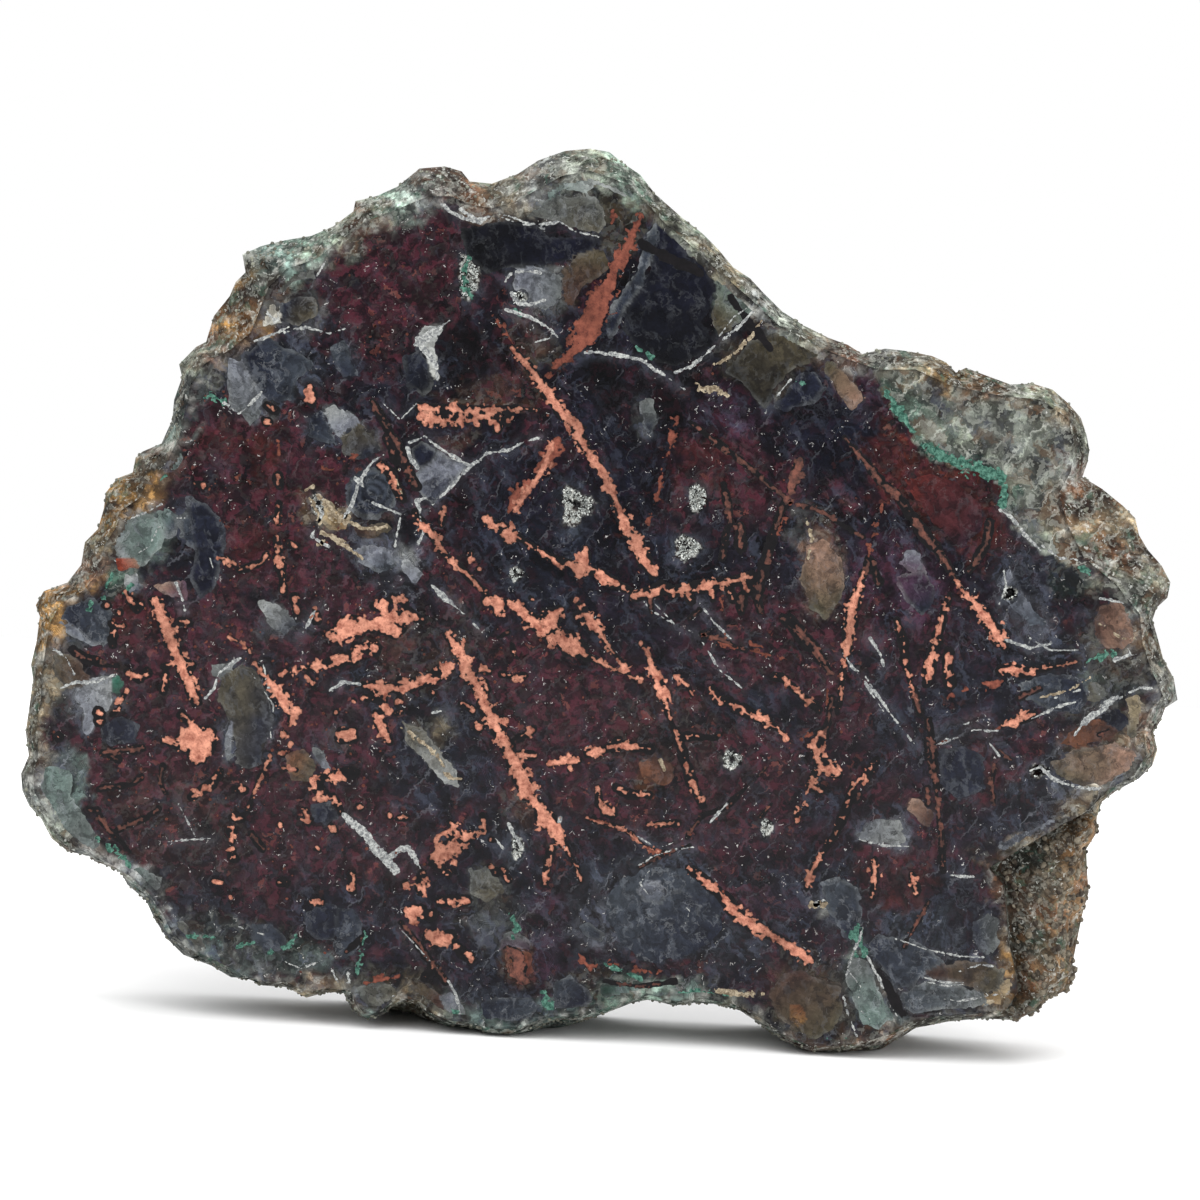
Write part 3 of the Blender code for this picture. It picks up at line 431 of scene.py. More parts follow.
# Broad masses of copper.
COPPER_MASSES = table("""
    876,762,3 852,792,4.5 830,846,4.5 806,883,3; 814,743,6 838,775,7; 825,738,5 822,765,7 803,808,5
    798,824,4; 190,736,26 203,752,24; 165,739,4 185,751,8; 330,637,13 350,633,15 372,625,14 400,618,16
    411,622,10; 354,655,8 374,648,10; 363,701,8 398,692,8 427,677,7 446,669,5; 380,684,8 388,714,8;
    340,736,11 352,736,11; 313,785,7 352,778,6; 316,788,6 324,797,6; 436,842,8 457,828,7; 446,840,9
    434,858,11; 463,851,4 482,834,4; 404,890,5 426,881,5; 421,876,8 424,898,8; 437,905,5 466,905,5;
    407,917,8 415,922,8; 430,937,12 448,943,11; 457,955,7 471,963,6; 424,418,13 440,420,12 470,420,10
    505,416,6; 553,446,7 545,470,9 530,490,10 515,512,9; 280,677,5 309,669,6 342,657,6
""")

# Copper that lies just under the polish or carries a red bloom.
RED_BLADES = table("""
    701,638,5 733,649,5 771,657,3 787,661,2; 828,689,2.5 826,720,4; 588,821,3.5 620,829,3 652,854,3.5
    669,856,3; 938,746,2.5 965,735,2.5 1000,730,2.5; 570,358,8 583,340,22 598,312,26 610,285,18
    620,255,10; 613,215,5 612,226,7; 641,218,7 634,232,9 630,246,10 624,260,12 615,272,12 610,284,13;
    606,292,20 599,306,30 592,322,30 588,338,26; 582,346,14 572,356,12 562,364,9 553,373,7 548,380,5;
    494,318,5 503,331,6 512,347,5; 557,443,12 552,455,13 545,465,11 538,473,10; 530,485,10 521,493,15
    514,501,14 510,513,8; 540,470,5 556,466,5; 677,419,6 672,433,8 669,448,8 665,466,7; 663,472,7
    659,489,6 654,509,5; 653,512,4 648,527,3; 964,692,6 979,688,8 990,686,7 1002,683,6; 882,506,5
    877,524,6 871,545,6 866,562,5; 575,956,5 589,968,7 601,969,6 613,968,7 626,972,6 640,975,6 663,976,5;
    363,986,6 380,983,7 397,979,6; 285,902,6; 278,443,4 279,456,5; 275,464,5 278,472,6; 340,468,4
    350,462,6 358,456,5; 322,471,3 332,472,5 341,468,3; 236,480,4 250,470,4; 948,701,7 953,697,7;
    945,706,6; 702,636,6 708,640,6; 740,644,4 752,647,5 762,648,4; 720,600,3 724,612,4; 800,740,3
    826,733,4; 790,505,5 783,520,5 777,536,4
""")

# Copper tarnished brown by the air.
TARNISHED_BLADES = table("""
    757,584,3.5 760,614,3; 782,619,3 803,641,4.5 830,676,3; 687,840,3 701,819,2.5 728,808,2 766,770,1.6;
    927,743,3 938,797,2.5 944,850,2; 690,424,4 706,437,5 721,448,5 734,458,4 747,467,5 760,479,5 772,490,5
    785,499,5; 800,462,9 795,476,11 791,492,10; 786,500,8 780,515,6 775,530,5; 772,536,5 768,556,6
    762,578,6 757,600,5; 724,487,4 727,507,4 731,524,4; 740,527,7 741,548,9; 727,530,3 722,560,3;
    742,600,7 741,614,5; 797,506,5 810,509,5 824,515,6 836,523,6 848,530,5 862,539,4; 845,440,4 853,450,5
    861,459,6 870,470,8 880,483,9; 886,488,8 896,496,8 906,510,7 915,522,7 925,537,8 934,549,7; 938,554,7
    946,566,7 955,580,6; 868,560,5 866,575,6; 873,564,4 878,585,5; 969,572,5 978,560,6 986,545,5
    990,524,5; 950,595,6 947,610,6; 914,694,5 920,714,5; 832,700,5 829,722,5 824,738,6; 790,620,4
    800,632,6 812,645,5 822,660,6 832,675,5; 703,636,4 722,642,5 745,652,4; 929,722,5 934,760,5 938,800,4
    942,838,4 944,872,4; 995,767,4 993,786,4 995,806,4; 928,790,4 929,806,5; 859,796,3 858,803,3;
    373,404,4 386,427,5 400,452,5 416,488,5; 386,440,4 396,462,5; 72,651,3 85,660,4 96,663,4 106,668,4
    117,668,3; 98,791,3 112,789,3 131,787,3 140,779,3; 162,768,4 159,781,4 164,795,4; 87,812,2 96,813,3;
    97,819,4 107,832,4 117,842,4 129,855,4; 117,832,4 135,824,4 157,812,4; 102,755,3 122,752,4 143,750,3;
    110,759,5 117,762,5; 132,753,6; 508,952,9 518,962,16 520,978,14 526,986,8; 250,836,4 262,852,4;
    345,955,4 362,940,4; 400,925,4 420,950,5 445,985,4; 893,425,4 884,430,5; 1100,737,4 1110,733,5;
    1000,752,3 1012,762,3; 604,985,3 640,990,3 676,985,3; 640,870,3 656,860,4 690,848,3; 700,612,3
    690,620,3; 650,600,4 652,615,3; 498,640,3 508,634,3; 930,905,3 905,950,3; 760,820,3 772,806,3;
    1040,690,4 1020,700,3
""")

# Veins of milky quartz.
WHITE_VEINS = table("""
    655,606,1.4 674,625,1.5 701,638,1.4; 852,668,1.8 879,700,2.2 911,743,1.8; 631,835,1.6 658,851,2.2
    687,840,1.6; 938,748,2 965,737,2.2 1000,732,1.8; 246,262,1.6 263,290,2.4 279,307,2.4 279,323,1.6;
    257,323,2.4 268,315,3 279,323,2; 318,279,2.5 329,260,2 337,240,1.6; 461,213,3 478,224,4 495,218,3
    506,207,2; 495,218,2.4 519,227,2.4 545,232,1.6; 426,345,4 438,333,3 450,323,2; 384,406,1.5 401,422,2
    417,406,2; 373,505,2 401,516,2 395,549,2; 312,500,2 323,516,3 312,538,3 329,549,3; 230,301,1.6
    216,326,1.6 208,350,2 240,350,2; 202,356,2 185,367,2 180,389,2; 174,800,1.2 184,819,1.6 194,839,1.2;
    167,844,1.2 190,842,1.6 213,841,1.2; 204,902,1.2 215,934,1.6; 252,676,1.4 273,707,1.8 270,739,1.2;
    718,340,2 733,320,2.4 758,303,2 768,290,1.5; 655,372,1.5 672,383,2 684,392,1.5; 860,842,1.6
    884,848,2.4 910,849,1.6; 926,985,1.4 950,990,2 974,986,1.4; 915,1004,1.4 940,1000,1.8 962,1008,1.4;
    850,975,1.4 862,990,2 858,1010,1.4 872,1024,1.4; 395,927,2 416,950,2.4 437,972,1.8; 652,870,1.6
    640,886,2 650,900,1.4; 676,900,1.2 690,914,1.8 684,932,1.2; 1055,700,1.2 1080,692,1.6 1100,696,1.2;
    1128,650,1.6 1140,668,2 1134,690,1.6; 1030,640,1.2 1050,652,1.6 1078,652,1.2; 700,640,1 720,672,1.4
    742,690,1; 843,655,1 868,690,1.6 890,722,1.2; 935,735,1.4 960,728,1.8 990,718,1.2; 435,200,3 450,215,3
    465,222,4 480,226,4 495,217,3 510,220,3 530,228,3 548,228,3 560,225,2 575,235,3 598,240,2; 440,330,4
    431,334,4 424,341,9 419,345,9; 419,345,7 430,358,6 437,370,5 438,382,3; 505,312,2 530,320,3 548,330,4
    558,340,3; 552,340,3 535,345,2; 585,355,3 600,355,4 620,358,5 640,362,4 655,372,5 665,378,3; 675,375,3
    690,369,4 700,362,5 715,348,4; 720,345,4 735,332,5 755,312,3; 410,445,3 425,438,3 432,444,4 440,450,3
    455,460,4 470,468,4 480,462,3 487,455,3 510,452,3 525,443,3 540,440,2; 408,450,4 412,462,5 418,470,4;
    470,468,3 455,485,3 440,500,3 430,510,2; 790,382,2 775,400,2 765,415,2; 384,457,2 374,463,3 367,472,4
    360,483,4 356,494,3 352,506,4 345,520,3; 353,475,2 358,482,7 364,489,2; 417,503,4 420,512,5 421,524,4
    424,534,3 418,546,3; 417,503,4 426,500,4 433,507,2; 432,587,3 440,595,5 447,602,6 460,612,3 475,627,3
    483,635,2; 342,816,4 352,826,8 362,834,9 373,848,10 384,862,11 395,873,8; 391,858,7 400,852,6
    407,850,7 413,859,5 420,871,3; 329,693,4 342,684,5 360,686,4; 851,668,2 864,676,2 872,688,2 880,699,3
    890,714,3 903,732,3 918,749,2; 933,749,4 947,742,4 966,737,2; 990,745,2 998,755,3 1005,763,2;
    1075,738,4 1083,726,6 1090,719,8 1100,714,7 1108,706,8 1118,699,5; 1031,773,3 1041,769,4 1054,781,4
    1069,787,3 1087,791,4 1103,791,3; 897,942,2 928,953,2 964,960,3 1000,961,2; 926,981,2 944,986,3
    974,986,2 990,999,2; 818,907,9; 824,903,6; 952,878,2 975,880,3; 1005,862,2 1034,848,3 1060,834,3
    1082,830,2; 1115,662,5 1130,657,4 1150,654,4; 347,977,5 348,990,6 350,1003,4; 330,972,3 338,990,3;
    866,955,2 880,981,3 890,1006,2 908,1035,2; 846,985,2 853,958,3 862,940,4 864,930,2; 844,998,3
    850,1020,2 858,1040,2; 700,605,3 712,622,2 730,640,2; 641,600,2 651,612,2 672,625,2 690,633,2;
    205,700,3 214,690,4 218,676,3 232,664,5 240,660,3; 262,662,2 268,690,3; 300,640,4 306,628,5 318,608,2;
    210,560,2 216,580,2; 130,560,2 150,548,3 158,530,2 172,520,2 185,520,2; 118,532,3 132,520,3 150,513,3
    162,506,3; 112,560,3 120,566,3 136,568,2; 176,585,3 182,600,4 185,612,3; 184,388,3 196,376,3 210,364,3
    236,350,3 262,342,3 290,330,2; 252,304,5 266,312,6 276,324,4; 286,335,3 306,330,3 330,336,3 350,330,2;
    225,405,3 240,416,3 252,406,3 262,395,3; 506,284,3 512,276,5 524,274,4 540,276,3; 512,296,3 518,306,4
    530,308,3 545,303,3; 1000,512,5 1012,520,4 1024,536,4 1040,552,3; 985,620,2 1000,640,3 1030,650,3
    1052,645,2; 999,606,2 1006,590,3 1004,572,2; 870,640,2 880,655,2 884,668,2; 1120,700,3 1140,690,3
    1158,690,2; 955,738,2 975,732,3 1000,733,2; 1030,722,2 1060,708,3 1076,704,2; 60,690,2 76,684,3
    96,684,4 116,676,3; 52,650,3 66,660,2 74,676,2; 432,715,2 446,712,3 452,720,2; 448,985,3 456,1000,4
    460,1020,3; 392,1000,2 412,1006,3 440,1008,2; 280,964,2 300,972,3 326,962,2; 214,935,2 238,930,2
    262,938,2; 960,975,2 982,968,3 1010,972,2; 928,1000,2 960,1005,3 1000,998,2; 560,820,3 556,838,3
    566,852,2; 508,826,4 514,838,5 522,850,3; 496,842,3 506,856,3; 640,868,2 655,858,3 676,852,3
    694,850,2; 706,830,2 716,818,3 728,806,2; 1042,548,2 1060,560,3 1084,562,3; 1100,600,3 1120,604,3
    1140,612,2
""")

# Fine cream fillings, stained by iron.
CREAM_VEINS = table("""
    718,994,6 740,998,7 763,997,5; 813,908,8 824,908,9; 402,729,4 414,738,6 425,746,6 440,762,5; 437,756,4
    449,780,4 460,782,5; 700,375,3 710,368,4 720,365,4 735,355,4 750,340,4 762,322,3; 688,382,4 702,390,9
    718,393,8 728,398,3; 310,500,3 318,512,6 320,526,5; 318,498,4 328,506,7 334,518,9 344,524,7 350,518,4;
    322,534,6 334,540,5 346,548,4 362,560,3; 352,524,4 362,530,6 378,530,4 396,526,3; 318,546,5 326,542,4;
    306,492,5 314,488,4; 660,762,3 668,780,3; 806,520,2 812,540,3 808,560,2; 1040,700,2 1070,692,3
    1090,680,2; 1100,626,2 1122,640,3 1140,640,2; 986,1008,3 1004,1000,3 1018,1006,3; 470,196,3 486,208,4
    500,204,3; 400,470,2 396,480,2 402,496,2; 240,336,3 252,328,4 256,316,3
""")

# Veins coloured green by copper.
GREEN_VEINS = table("""
    852,938,7 860,948,8 866,957,6; 828,1043,5 838,1056,6; 171,943,4 185,941,5 199,938,4 210,941,5
    221,946,4; 236,950,3 253,946,4; 268,956,4 284,953,5 295,938,4; 366,930,5 362,945,6 360,960,7
    355,976,5; 925,448,7 940,456,10 955,464,12 972,470,13 988,474,11 1002,478,6; 886,396,5 896,410,8
    906,422,6 914,436,4; 1087,664,6 1100,658,8 1112,656,6; 859,930,5 860,942,8 858,956,6; 1002,482,7
    1004,496,8 1001,508,5; 612,1004,6 625,1005,9 640,1005,8 655,1004,7; 663,1003,6 680,999,8 697,996,7
    714,998,6 730,1001,5; 511,918,5 517,930,6 513,940,4; 542,996,6 548,1008,9 552,1022,6; 104,600,4
    106,588,6 112,576,5; 124,594,4 133,584,4; 184,386,5 190,394,6; 196,402,5 212,398,6 224,404,4;
    150,468,4 158,482,5 166,478,4; 92,605,4 88,612,4; 244,270,6 256,262,8 274,256,6; 300,252,6 322,246,7
    340,236,5; 470,262,5 466,274,6 466,290,6 472,300,4; 96,840,5 112,852,6 128,866,4; 452,1014,5
    462,1024,6; 636,350,3 652,360,4; 792,384,4 806,386,3; 1100,574,5 1080,570,6; 846,1046,5 870,1046,6
    896,1036,4; 604,968,2 640,982,3; 512,312,3 522,318,3
""")

# Black seams without copper in them.
BLACK_SEAMS = table("""
    1016,859,4 1036,849,5 1058,838,4 1076,828,3; 700,883,3 730,908,4 766,934,4 800,957,3; 879,975,3
    893,999,4 905,1018,4 916,1036,3; 640,246,4 668,262,6 700,276,4; 730,300,4 752,330,6 770,352,3
""")


# ---------------------------------------------------------------- noise and the sheet


def smooth_step(low: float, high: float, value: Array) -> Array:
    """A soft step from 0 at low to 1 at high."""
    share = np.clip((value - low) / (high - low), 0.0, 1.0)
    return share * share * (3 - 2 * share)


def toward(start: Array, end: Array, share: Array | float) -> Array:
    """What lies a share of the way from start to end."""
    return start + (end - start) * share


@dataclass(frozen=True)
class Grain:
    """Seeded noise over the sheet, the same each run, in numbers from -1 to 1."""

    seed: int
    table: int = 256

    def _lattice(self, row: Array, column: Array, layer: int) -> Array:
        """Random numbers from 0 to 1 at whole places."""
        numbers = np.random.default_rng(self.seed * 101 + layer).random((self.table, self.table))
        return numbers[row % self.table, column % self.table]

    def smooth(self, x: Array, y: Array, size: float) -> Array:
        """Soft noise.

        Args:
            x: Places across the sheet, in squares.
            y: Places down the sheet, in squares.
            size: The width of one swell, in squares.

        Returns:
            The noise.
        """
        across, down = x / size + 13.7, y / size + 5.3
        column, row = np.floor(across).astype(int), np.floor(down).astype(int)
        u, v = across - column, down - row
        u, v = u * u * (3 - 2 * u), v * v * (3 - 2 * v)
        top = self._lattice(row, column, 0) * (1 - u) + self._lattice(row, column + 1, 0) * u
        low = self._lattice(row + 1, column, 0) * (1 - u) + self._lattice(row + 1, column + 1, 0) * u
        return 2 * (top * (1 - v) + low * v) - 1

    def cells(self, x: Array, y: Array, size: float) -> Array:
        """Noise that is even inside angular cells, as in a mass of crystals.

        Args:
            x: Places across the sheet, in squares.
            y: Places down the sheet, in squares.
            size: The width of a cell, in squares.

        Returns:
            The noise.
        """
        across, down = x / size + 7.1, y / size + 3.9
        column, row = np.floor(across).astype(int), np.floor(down).astype(int)
        nearest, value = np.full(across.shape, 9.0), np.zeros(across.shape)
        for step_down in (-1, 0, 1):
            for step_across in (-1, 0, 1):
                there = row + step_down, column + step_across
                away = np.hypot(
                    there[1] + self._lattice(*there, 1) - across, there[0] + self._lattice(*there, 2) - down
                )
                closer = away < nearest
                nearest = np.where(closer, away, nearest)
                value = np.where(closer, self._lattice(*there, 3), value)
        return 2 * value - 1


@dataclass(frozen=True)
class Sheet:
    """The drawing sheet and how it lies on the stone, in metres."""

    square_across: float = 0.000125
    square_up: float = 0.000126
    lean: float = math.radians(3.45)
    hub: Point = (600.0, 620.0)
    thickness: float = 0.022

    def turned(self, points: Array) -> Array:
        """Points of the sheet on the leaning slab.

        Args:
            points: Places on the sheet, in squares, shape (..., 2).

        Returns:
            Metres across and up from the hub.
        """
        points = np.asarray(points, float)
        across = (points[..., 0] - self.hub[0]) * self.square_across
        up = (self.hub[1] - points[..., 1]) * self.square_up
        cosine, sine = math.cos(self.lean), math.sin(self.lean)
        return np.stack([across * cosine - up * sine, across * sine + up * cosine], axis=-1)

    def offset(self) -> Array:
        """What puts the rim's lowest point on the floor and its middle over the origin."""
        rim = self.turned(np.array(RIM))
        return np.array([-(rim[:, 0].min() + rim[:, 0].max()) / 2, -rim[:, 1].min()])

    def place(self, points: Array, depth: Array | float) -> Array:
        """Points of the sheet in space.

        Args:
            points: Places on the sheet, in squares, shape (..., 2).
            depth: How far behind the polished face each lies.

        Returns:
            Places in metres, shape (..., 3).
        """
        flat = self.turned(points) + self.offset()
        behind = np.broadcast_to(np.asarray(depth, float) - self.thickness / 2, flat.shape[:-1])
        return np.stack([flat[..., 0], behind, flat[..., 1]], axis=-1)

    def lifted(self, points: Array) -> Array:
        """Points of space back on the sheet.

        Args:
            points: Places in metres, shape (n, 3).

        Returns:
            Places on the sheet, in squares, shape (n, 2).
        """
        across, up = points[:, 0] - self.offset()[0], points[:, 2] - self.offset()[1]
        cosine, sine = math.cos(self.lean), math.sin(self.lean)
        return np.stack([
            self.hub[0] + (across * cosine + up * sine) / self.square_across,
            self.hub[1] - (up * cosine - across * sine) / self.square_up,
        ], axis=-1)

    def bearing(self, point: Point) -> float:
        """The direction of a point from the hub, in radians, anticlockwise."""
        return math.atan2(self.hub[1] - point[1], point[0] - self.hub[0])

    def polar(self, squares: Array) -> tuple[Array, Array]:
        """The bearings of points of the sheet from the hub, and how far away they are in squares."""
        away = squares - np.array(self.hub)
        return np.arctan2(-away[:, 1], away[:, 0]), np.hypot(away[:, 0], away[:, 1])

    def at(self, angles: Array, distance: Array) -> Array:
        """Points of the sheet at a bearing and a distance from the hub."""
        across, up = distance * np.cos(angles), distance * np.sin(angles)
        return np.stack([self.hub[0] + across, self.hub[1] - up], axis=-1)

    def reach(self, outline: tuple[Point, ...], angles: Array) -> Array:
        """How far an outline lies from the hub.

        Args:
            outline: The outline, clockwise.
            angles: The directions asked for.

        Returns:
            The distances, in squares.
        """
        corners = np.array(outline[::-1], float)
        turn = np.unwrap(np.arctan2(self.hub[1] - corners[:, 1], corners[:, 0] - self.hub[0]))
        corners = np.vstack([corners, corners[:1]])
        turn = np.append(turn, turn[0] + 2 * math.pi)
        angles = turn[0] + np.mod(angles - turn[0], 2 * math.pi)
        here = np.clip(np.searchsorted(turn, angles, side="right") - 1, 0, len(turn) - 2)
        start, step = corners[here] - np.array(self.hub), corners[here + 1] - corners[here]
        ray = np.stack([np.cos(angles), -np.sin(angles)], axis=-1)
        crossing = start[:, 0] * step[:, 1] - start[:, 1] * step[:, 0]
        return crossing / (ray[:, 0] * step[:, 1] - ray[:, 1] * step[:, 0])


SHEET = Sheet()


def inside(outline: tuple[Point, ...] | list[Point], squares: Array) -> Array:
    """Tells which points of the sheet a closed outline holds.

    Args:
        outline: The outline's corners.
        squares: The points.

    Returns:
        1 for the points inside and 0 for the others.
    """
    within = np.zeros(len(squares), bool)
    for (x0, y0), (x1, y1) in zip(outline, outline[1:] + outline[:1]):
        if y0 != y1:
            crosses = (squares[:, 1] < y0) != (squares[:, 1] < y1)
            within ^= crosses & (squares[:, 0] < x0 + (squares[:, 1] - y0) * (x1 - x0) / (y1 - y0))
    return within.astype(float)


# ---------------------------------------------------------------- materials


def add_node(
    tree: Tree, kind: str, inputs: dict[str | int, object] | None = None, **settings: object
) -> bpy.types.Node:
    """Adds a node with its settings and links.

    Args:
        tree: The tree that it joins.
        kind: Its type; a type without Node in it is a shader node's.
        inputs: For each input a value, or the socket or the node that feeds it. A node feeds it from
            its first output.
        **settings: The node's own settings.

    Returns:
        The node.
    """
    node = tree.nodes.new(kind if "Node" in kind else f"ShaderNode{kind}")
    for key, value in settings.items():
        setattr(node, key, value)
    for key, value in (inputs or {}).items():
        if isinstance(value, bpy.types.Node):
            value = value.outputs[0]
        if isinstance(value, Socket):
            tree.links.new(value, node.inputs[key])
        else:
            node.inputs[key].default_value = value
    return node


def new_material(name: str) -> tuple[bpy.types.Material, partial, bpy.types.Node, bpy.types.Node]:
    """Starts a material.

    Args:
        name: Its name.

    Returns:
        The material, what adds nodes to it, its shader, and coordinates in millimetres.
    """
    material = bpy.data.materials.new(name)
    material.use_nodes = True
    add = partial(add_node, material.node_tree)
    place = add("TexCoord").outputs["Object"]
    in_mm = add("VectorMath", {0: place, "Scale": 1 / MILLIMETRE}, operation="SCALE")
    return material, add, material.node_tree.nodes["Principled BSDF"], in_mm


def dress(
    add: partial, shader: bpy.types.Node, height: bpy.types.Node, relief: Row, **values: object
) -> None:
    """Gives a shader its relief and its plain values.

    Args:
        add: What adds nodes to the material.
        shader: The shader.
        height: The node that makes the relief.
        relief: The relief's strength and its depth in metres.
        **values: For each input, named with _ for a space, a value or what feeds it.
    """
    bump = add("Bump", {"Height": height, "Strength": relief[0], "Distance": relief[1]})
    for key, value in {"Normal": bump.outputs["Normal"], **values}.items():
        socket = shader.inputs[key.replace("_", " ")]
        if isinstance(value, bpy.types.Node):
            value = value.outputs[0]
        if isinstance(value, Socket):
            shader.id_data.links.new(value, socket)
        else:
            socket.default_value = value


class Habit(Enum):
    """What the ground's second attribute holds in each colour channel."""

    DUST = "Red"
    WISPS = "Green"
    COARSE = "Blue"
    NONE = ""


class Pattern(Enum):
    """A kind of pattern: its node, that node's settings, and the output that is read."""

    CLOUDS = ("TexNoise", {}, 0)
    CELLS = ("TexVoronoi", {}, 1)
    CRACKS = ("TexVoronoi", {"feature": "DISTANCE_TO_EDGE"}, 0)
    SPECKS = ("TexVoronoi", {}, 0)
    BANDS = ("TexWave", {}, 1)
    GROWTH = ("TexNoise", {"normalize": True}, 0)


@dataclass(frozen=True)
class Layer:
    """One layer of pattern over the ground: where its value goes from low to high it comes in."""

    pattern: Pattern
    size_mm: float
    low: float
    high: float
    code: str
    share: float
    habit: Habit = Habit.NONE
    stretch: Place = (1.0, 1.0, 1.0)
    turn: float = 0.0
    patches_mm: float = 0.0


# Chalcedony grown in many pulses: deep clouds, red copper dust, milky wisps along the growth, healed
# fractures and a few white specks.
GROUND_LAYERS: tuple[Layer, ...] = (
    Layer(Pattern.CLOUDS, 3.2, 0.50, 0.60, "#0B0A10", 0.62),
    Layer(Pattern.GROWTH, 1.6, 0.40, 0.62, "#08070A", 0.50),
    Layer(Pattern.CLOUDS, 1.5, 0.54, 0.62, "#52242F", 0.40, Habit.DUST),
    Layer(Pattern.CLOUDS, 1.5, 0.55, 0.70, "#5A6072", 0.36, Habit.WISPS, (3.0, 1.0, 1.0), 58.0),
    Layer(Pattern.GROWTH, 1.5, 0.50, 0.74, "#525A6E", 0.38, Habit.WISPS, patches_mm=5.0),
    Layer(Pattern.GROWTH, 1.1, 0.19, 0.02, "#62666F", 0.27, Habit.WISPS, patches_mm=4.0),
    Layer(Pattern.BANDS, 2.6, 0.965, 0.998, "#8C8F97", 0.30, Habit.WISPS, turn=35.0, patches_mm=3.0),
    Layer(Pattern.CELLS, 0.60, 0.93, 0.95, "#7C463D", 0.34, Habit.DUST, patches_mm=4.5),
    Layer(Pattern.CRACKS, 2.9, 0.035, 0.012, "#050506", 0.60, patches_mm=3.4),
    Layer(Pattern.SPECKS, 1.3, 0.062, 0.042, "#B9B7B4", 0.75, patches_mm=4.0),
)

# Open-grained quartz rind: painted shade in hollows, sugary grains, dark cracks and white healed ones, iron
# stains.
GRAIN_LAYERS: tuple[Layer, ...] = (
    # Painted shade: dark clouds stand for the hollows of the open grain.
    Layer(Pattern.CLOUDS, 3.0, 0.50, 0.60, "#24231F", 0.55, Habit.COARSE),
    Layer(Pattern.CLOUDS, 3.6, 0.56, 0.62, "#7A5230", 0.24, Habit.COARSE),
    Layer(Pattern.CELLS, 0.50, 0.70, 0.78, "#B9BCB2", 0.26, Habit.COARSE),
    Layer(Pattern.CRACKS, 2.4, 0.06, 0.012, "#171512", 0.60, Habit.COARSE, patches_mm=3.0),
    Layer(Pattern.BANDS, 2.2, 0.93, 0.995, "#CDCFC6", 0.34, Habit.COARSE, turn=40.0, patches_mm=3.0),
)

# Older fragments: dark clouds, pale fibres, thin bands and black moss dots.
FRAGMENT_LAYERS: tuple[Layer, ...] = (
    Layer(Pattern.CLOUDS, 1.8, 0.52, 0.62, "#0C0C10", 0.45),
    Layer(Pattern.CLOUDS, 1.1, 0.55, 0.70, "#8A8F96", 0.26, Habit.WISPS, (2.6, 1.0, 1.0), 75.0),
    Layer(Pattern.GROWTH, 1.4, 0.14, 0.03, "#A2A5A8", 0.22, Habit.WISPS, patches_mm=2.6),
    Layer(Pattern.SPECKS, 0.75, 0.16, 0.10, "#08080A", 0.55, patches_mm=1.6),
)

# What only the broken rind has: a green bloom, painted shade in small gaps and painted glints from crystal
# faces.
GRAIN_BLOOM_AND_PAINTED_LIGHT: tuple[Layer, ...] = (
    Layer(Pattern.CLOUDS, 2.4, 0.56, 0.66, "#4F7A69", 0.32, Habit.COARSE),
    # Painted shade in the small gaps between grains.
    Layer(Pattern.CLOUDS, 0.7, 0.50, 0.60, "#2A2925", 0.45, Habit.COARSE),
    # Painted glints: bright specks where crystal faces catch the light.
    Layer(Pattern.CELLS, 0.30, 0.95, 0.96, "#D4D6D0", 0.45, Habit.COARSE),
)


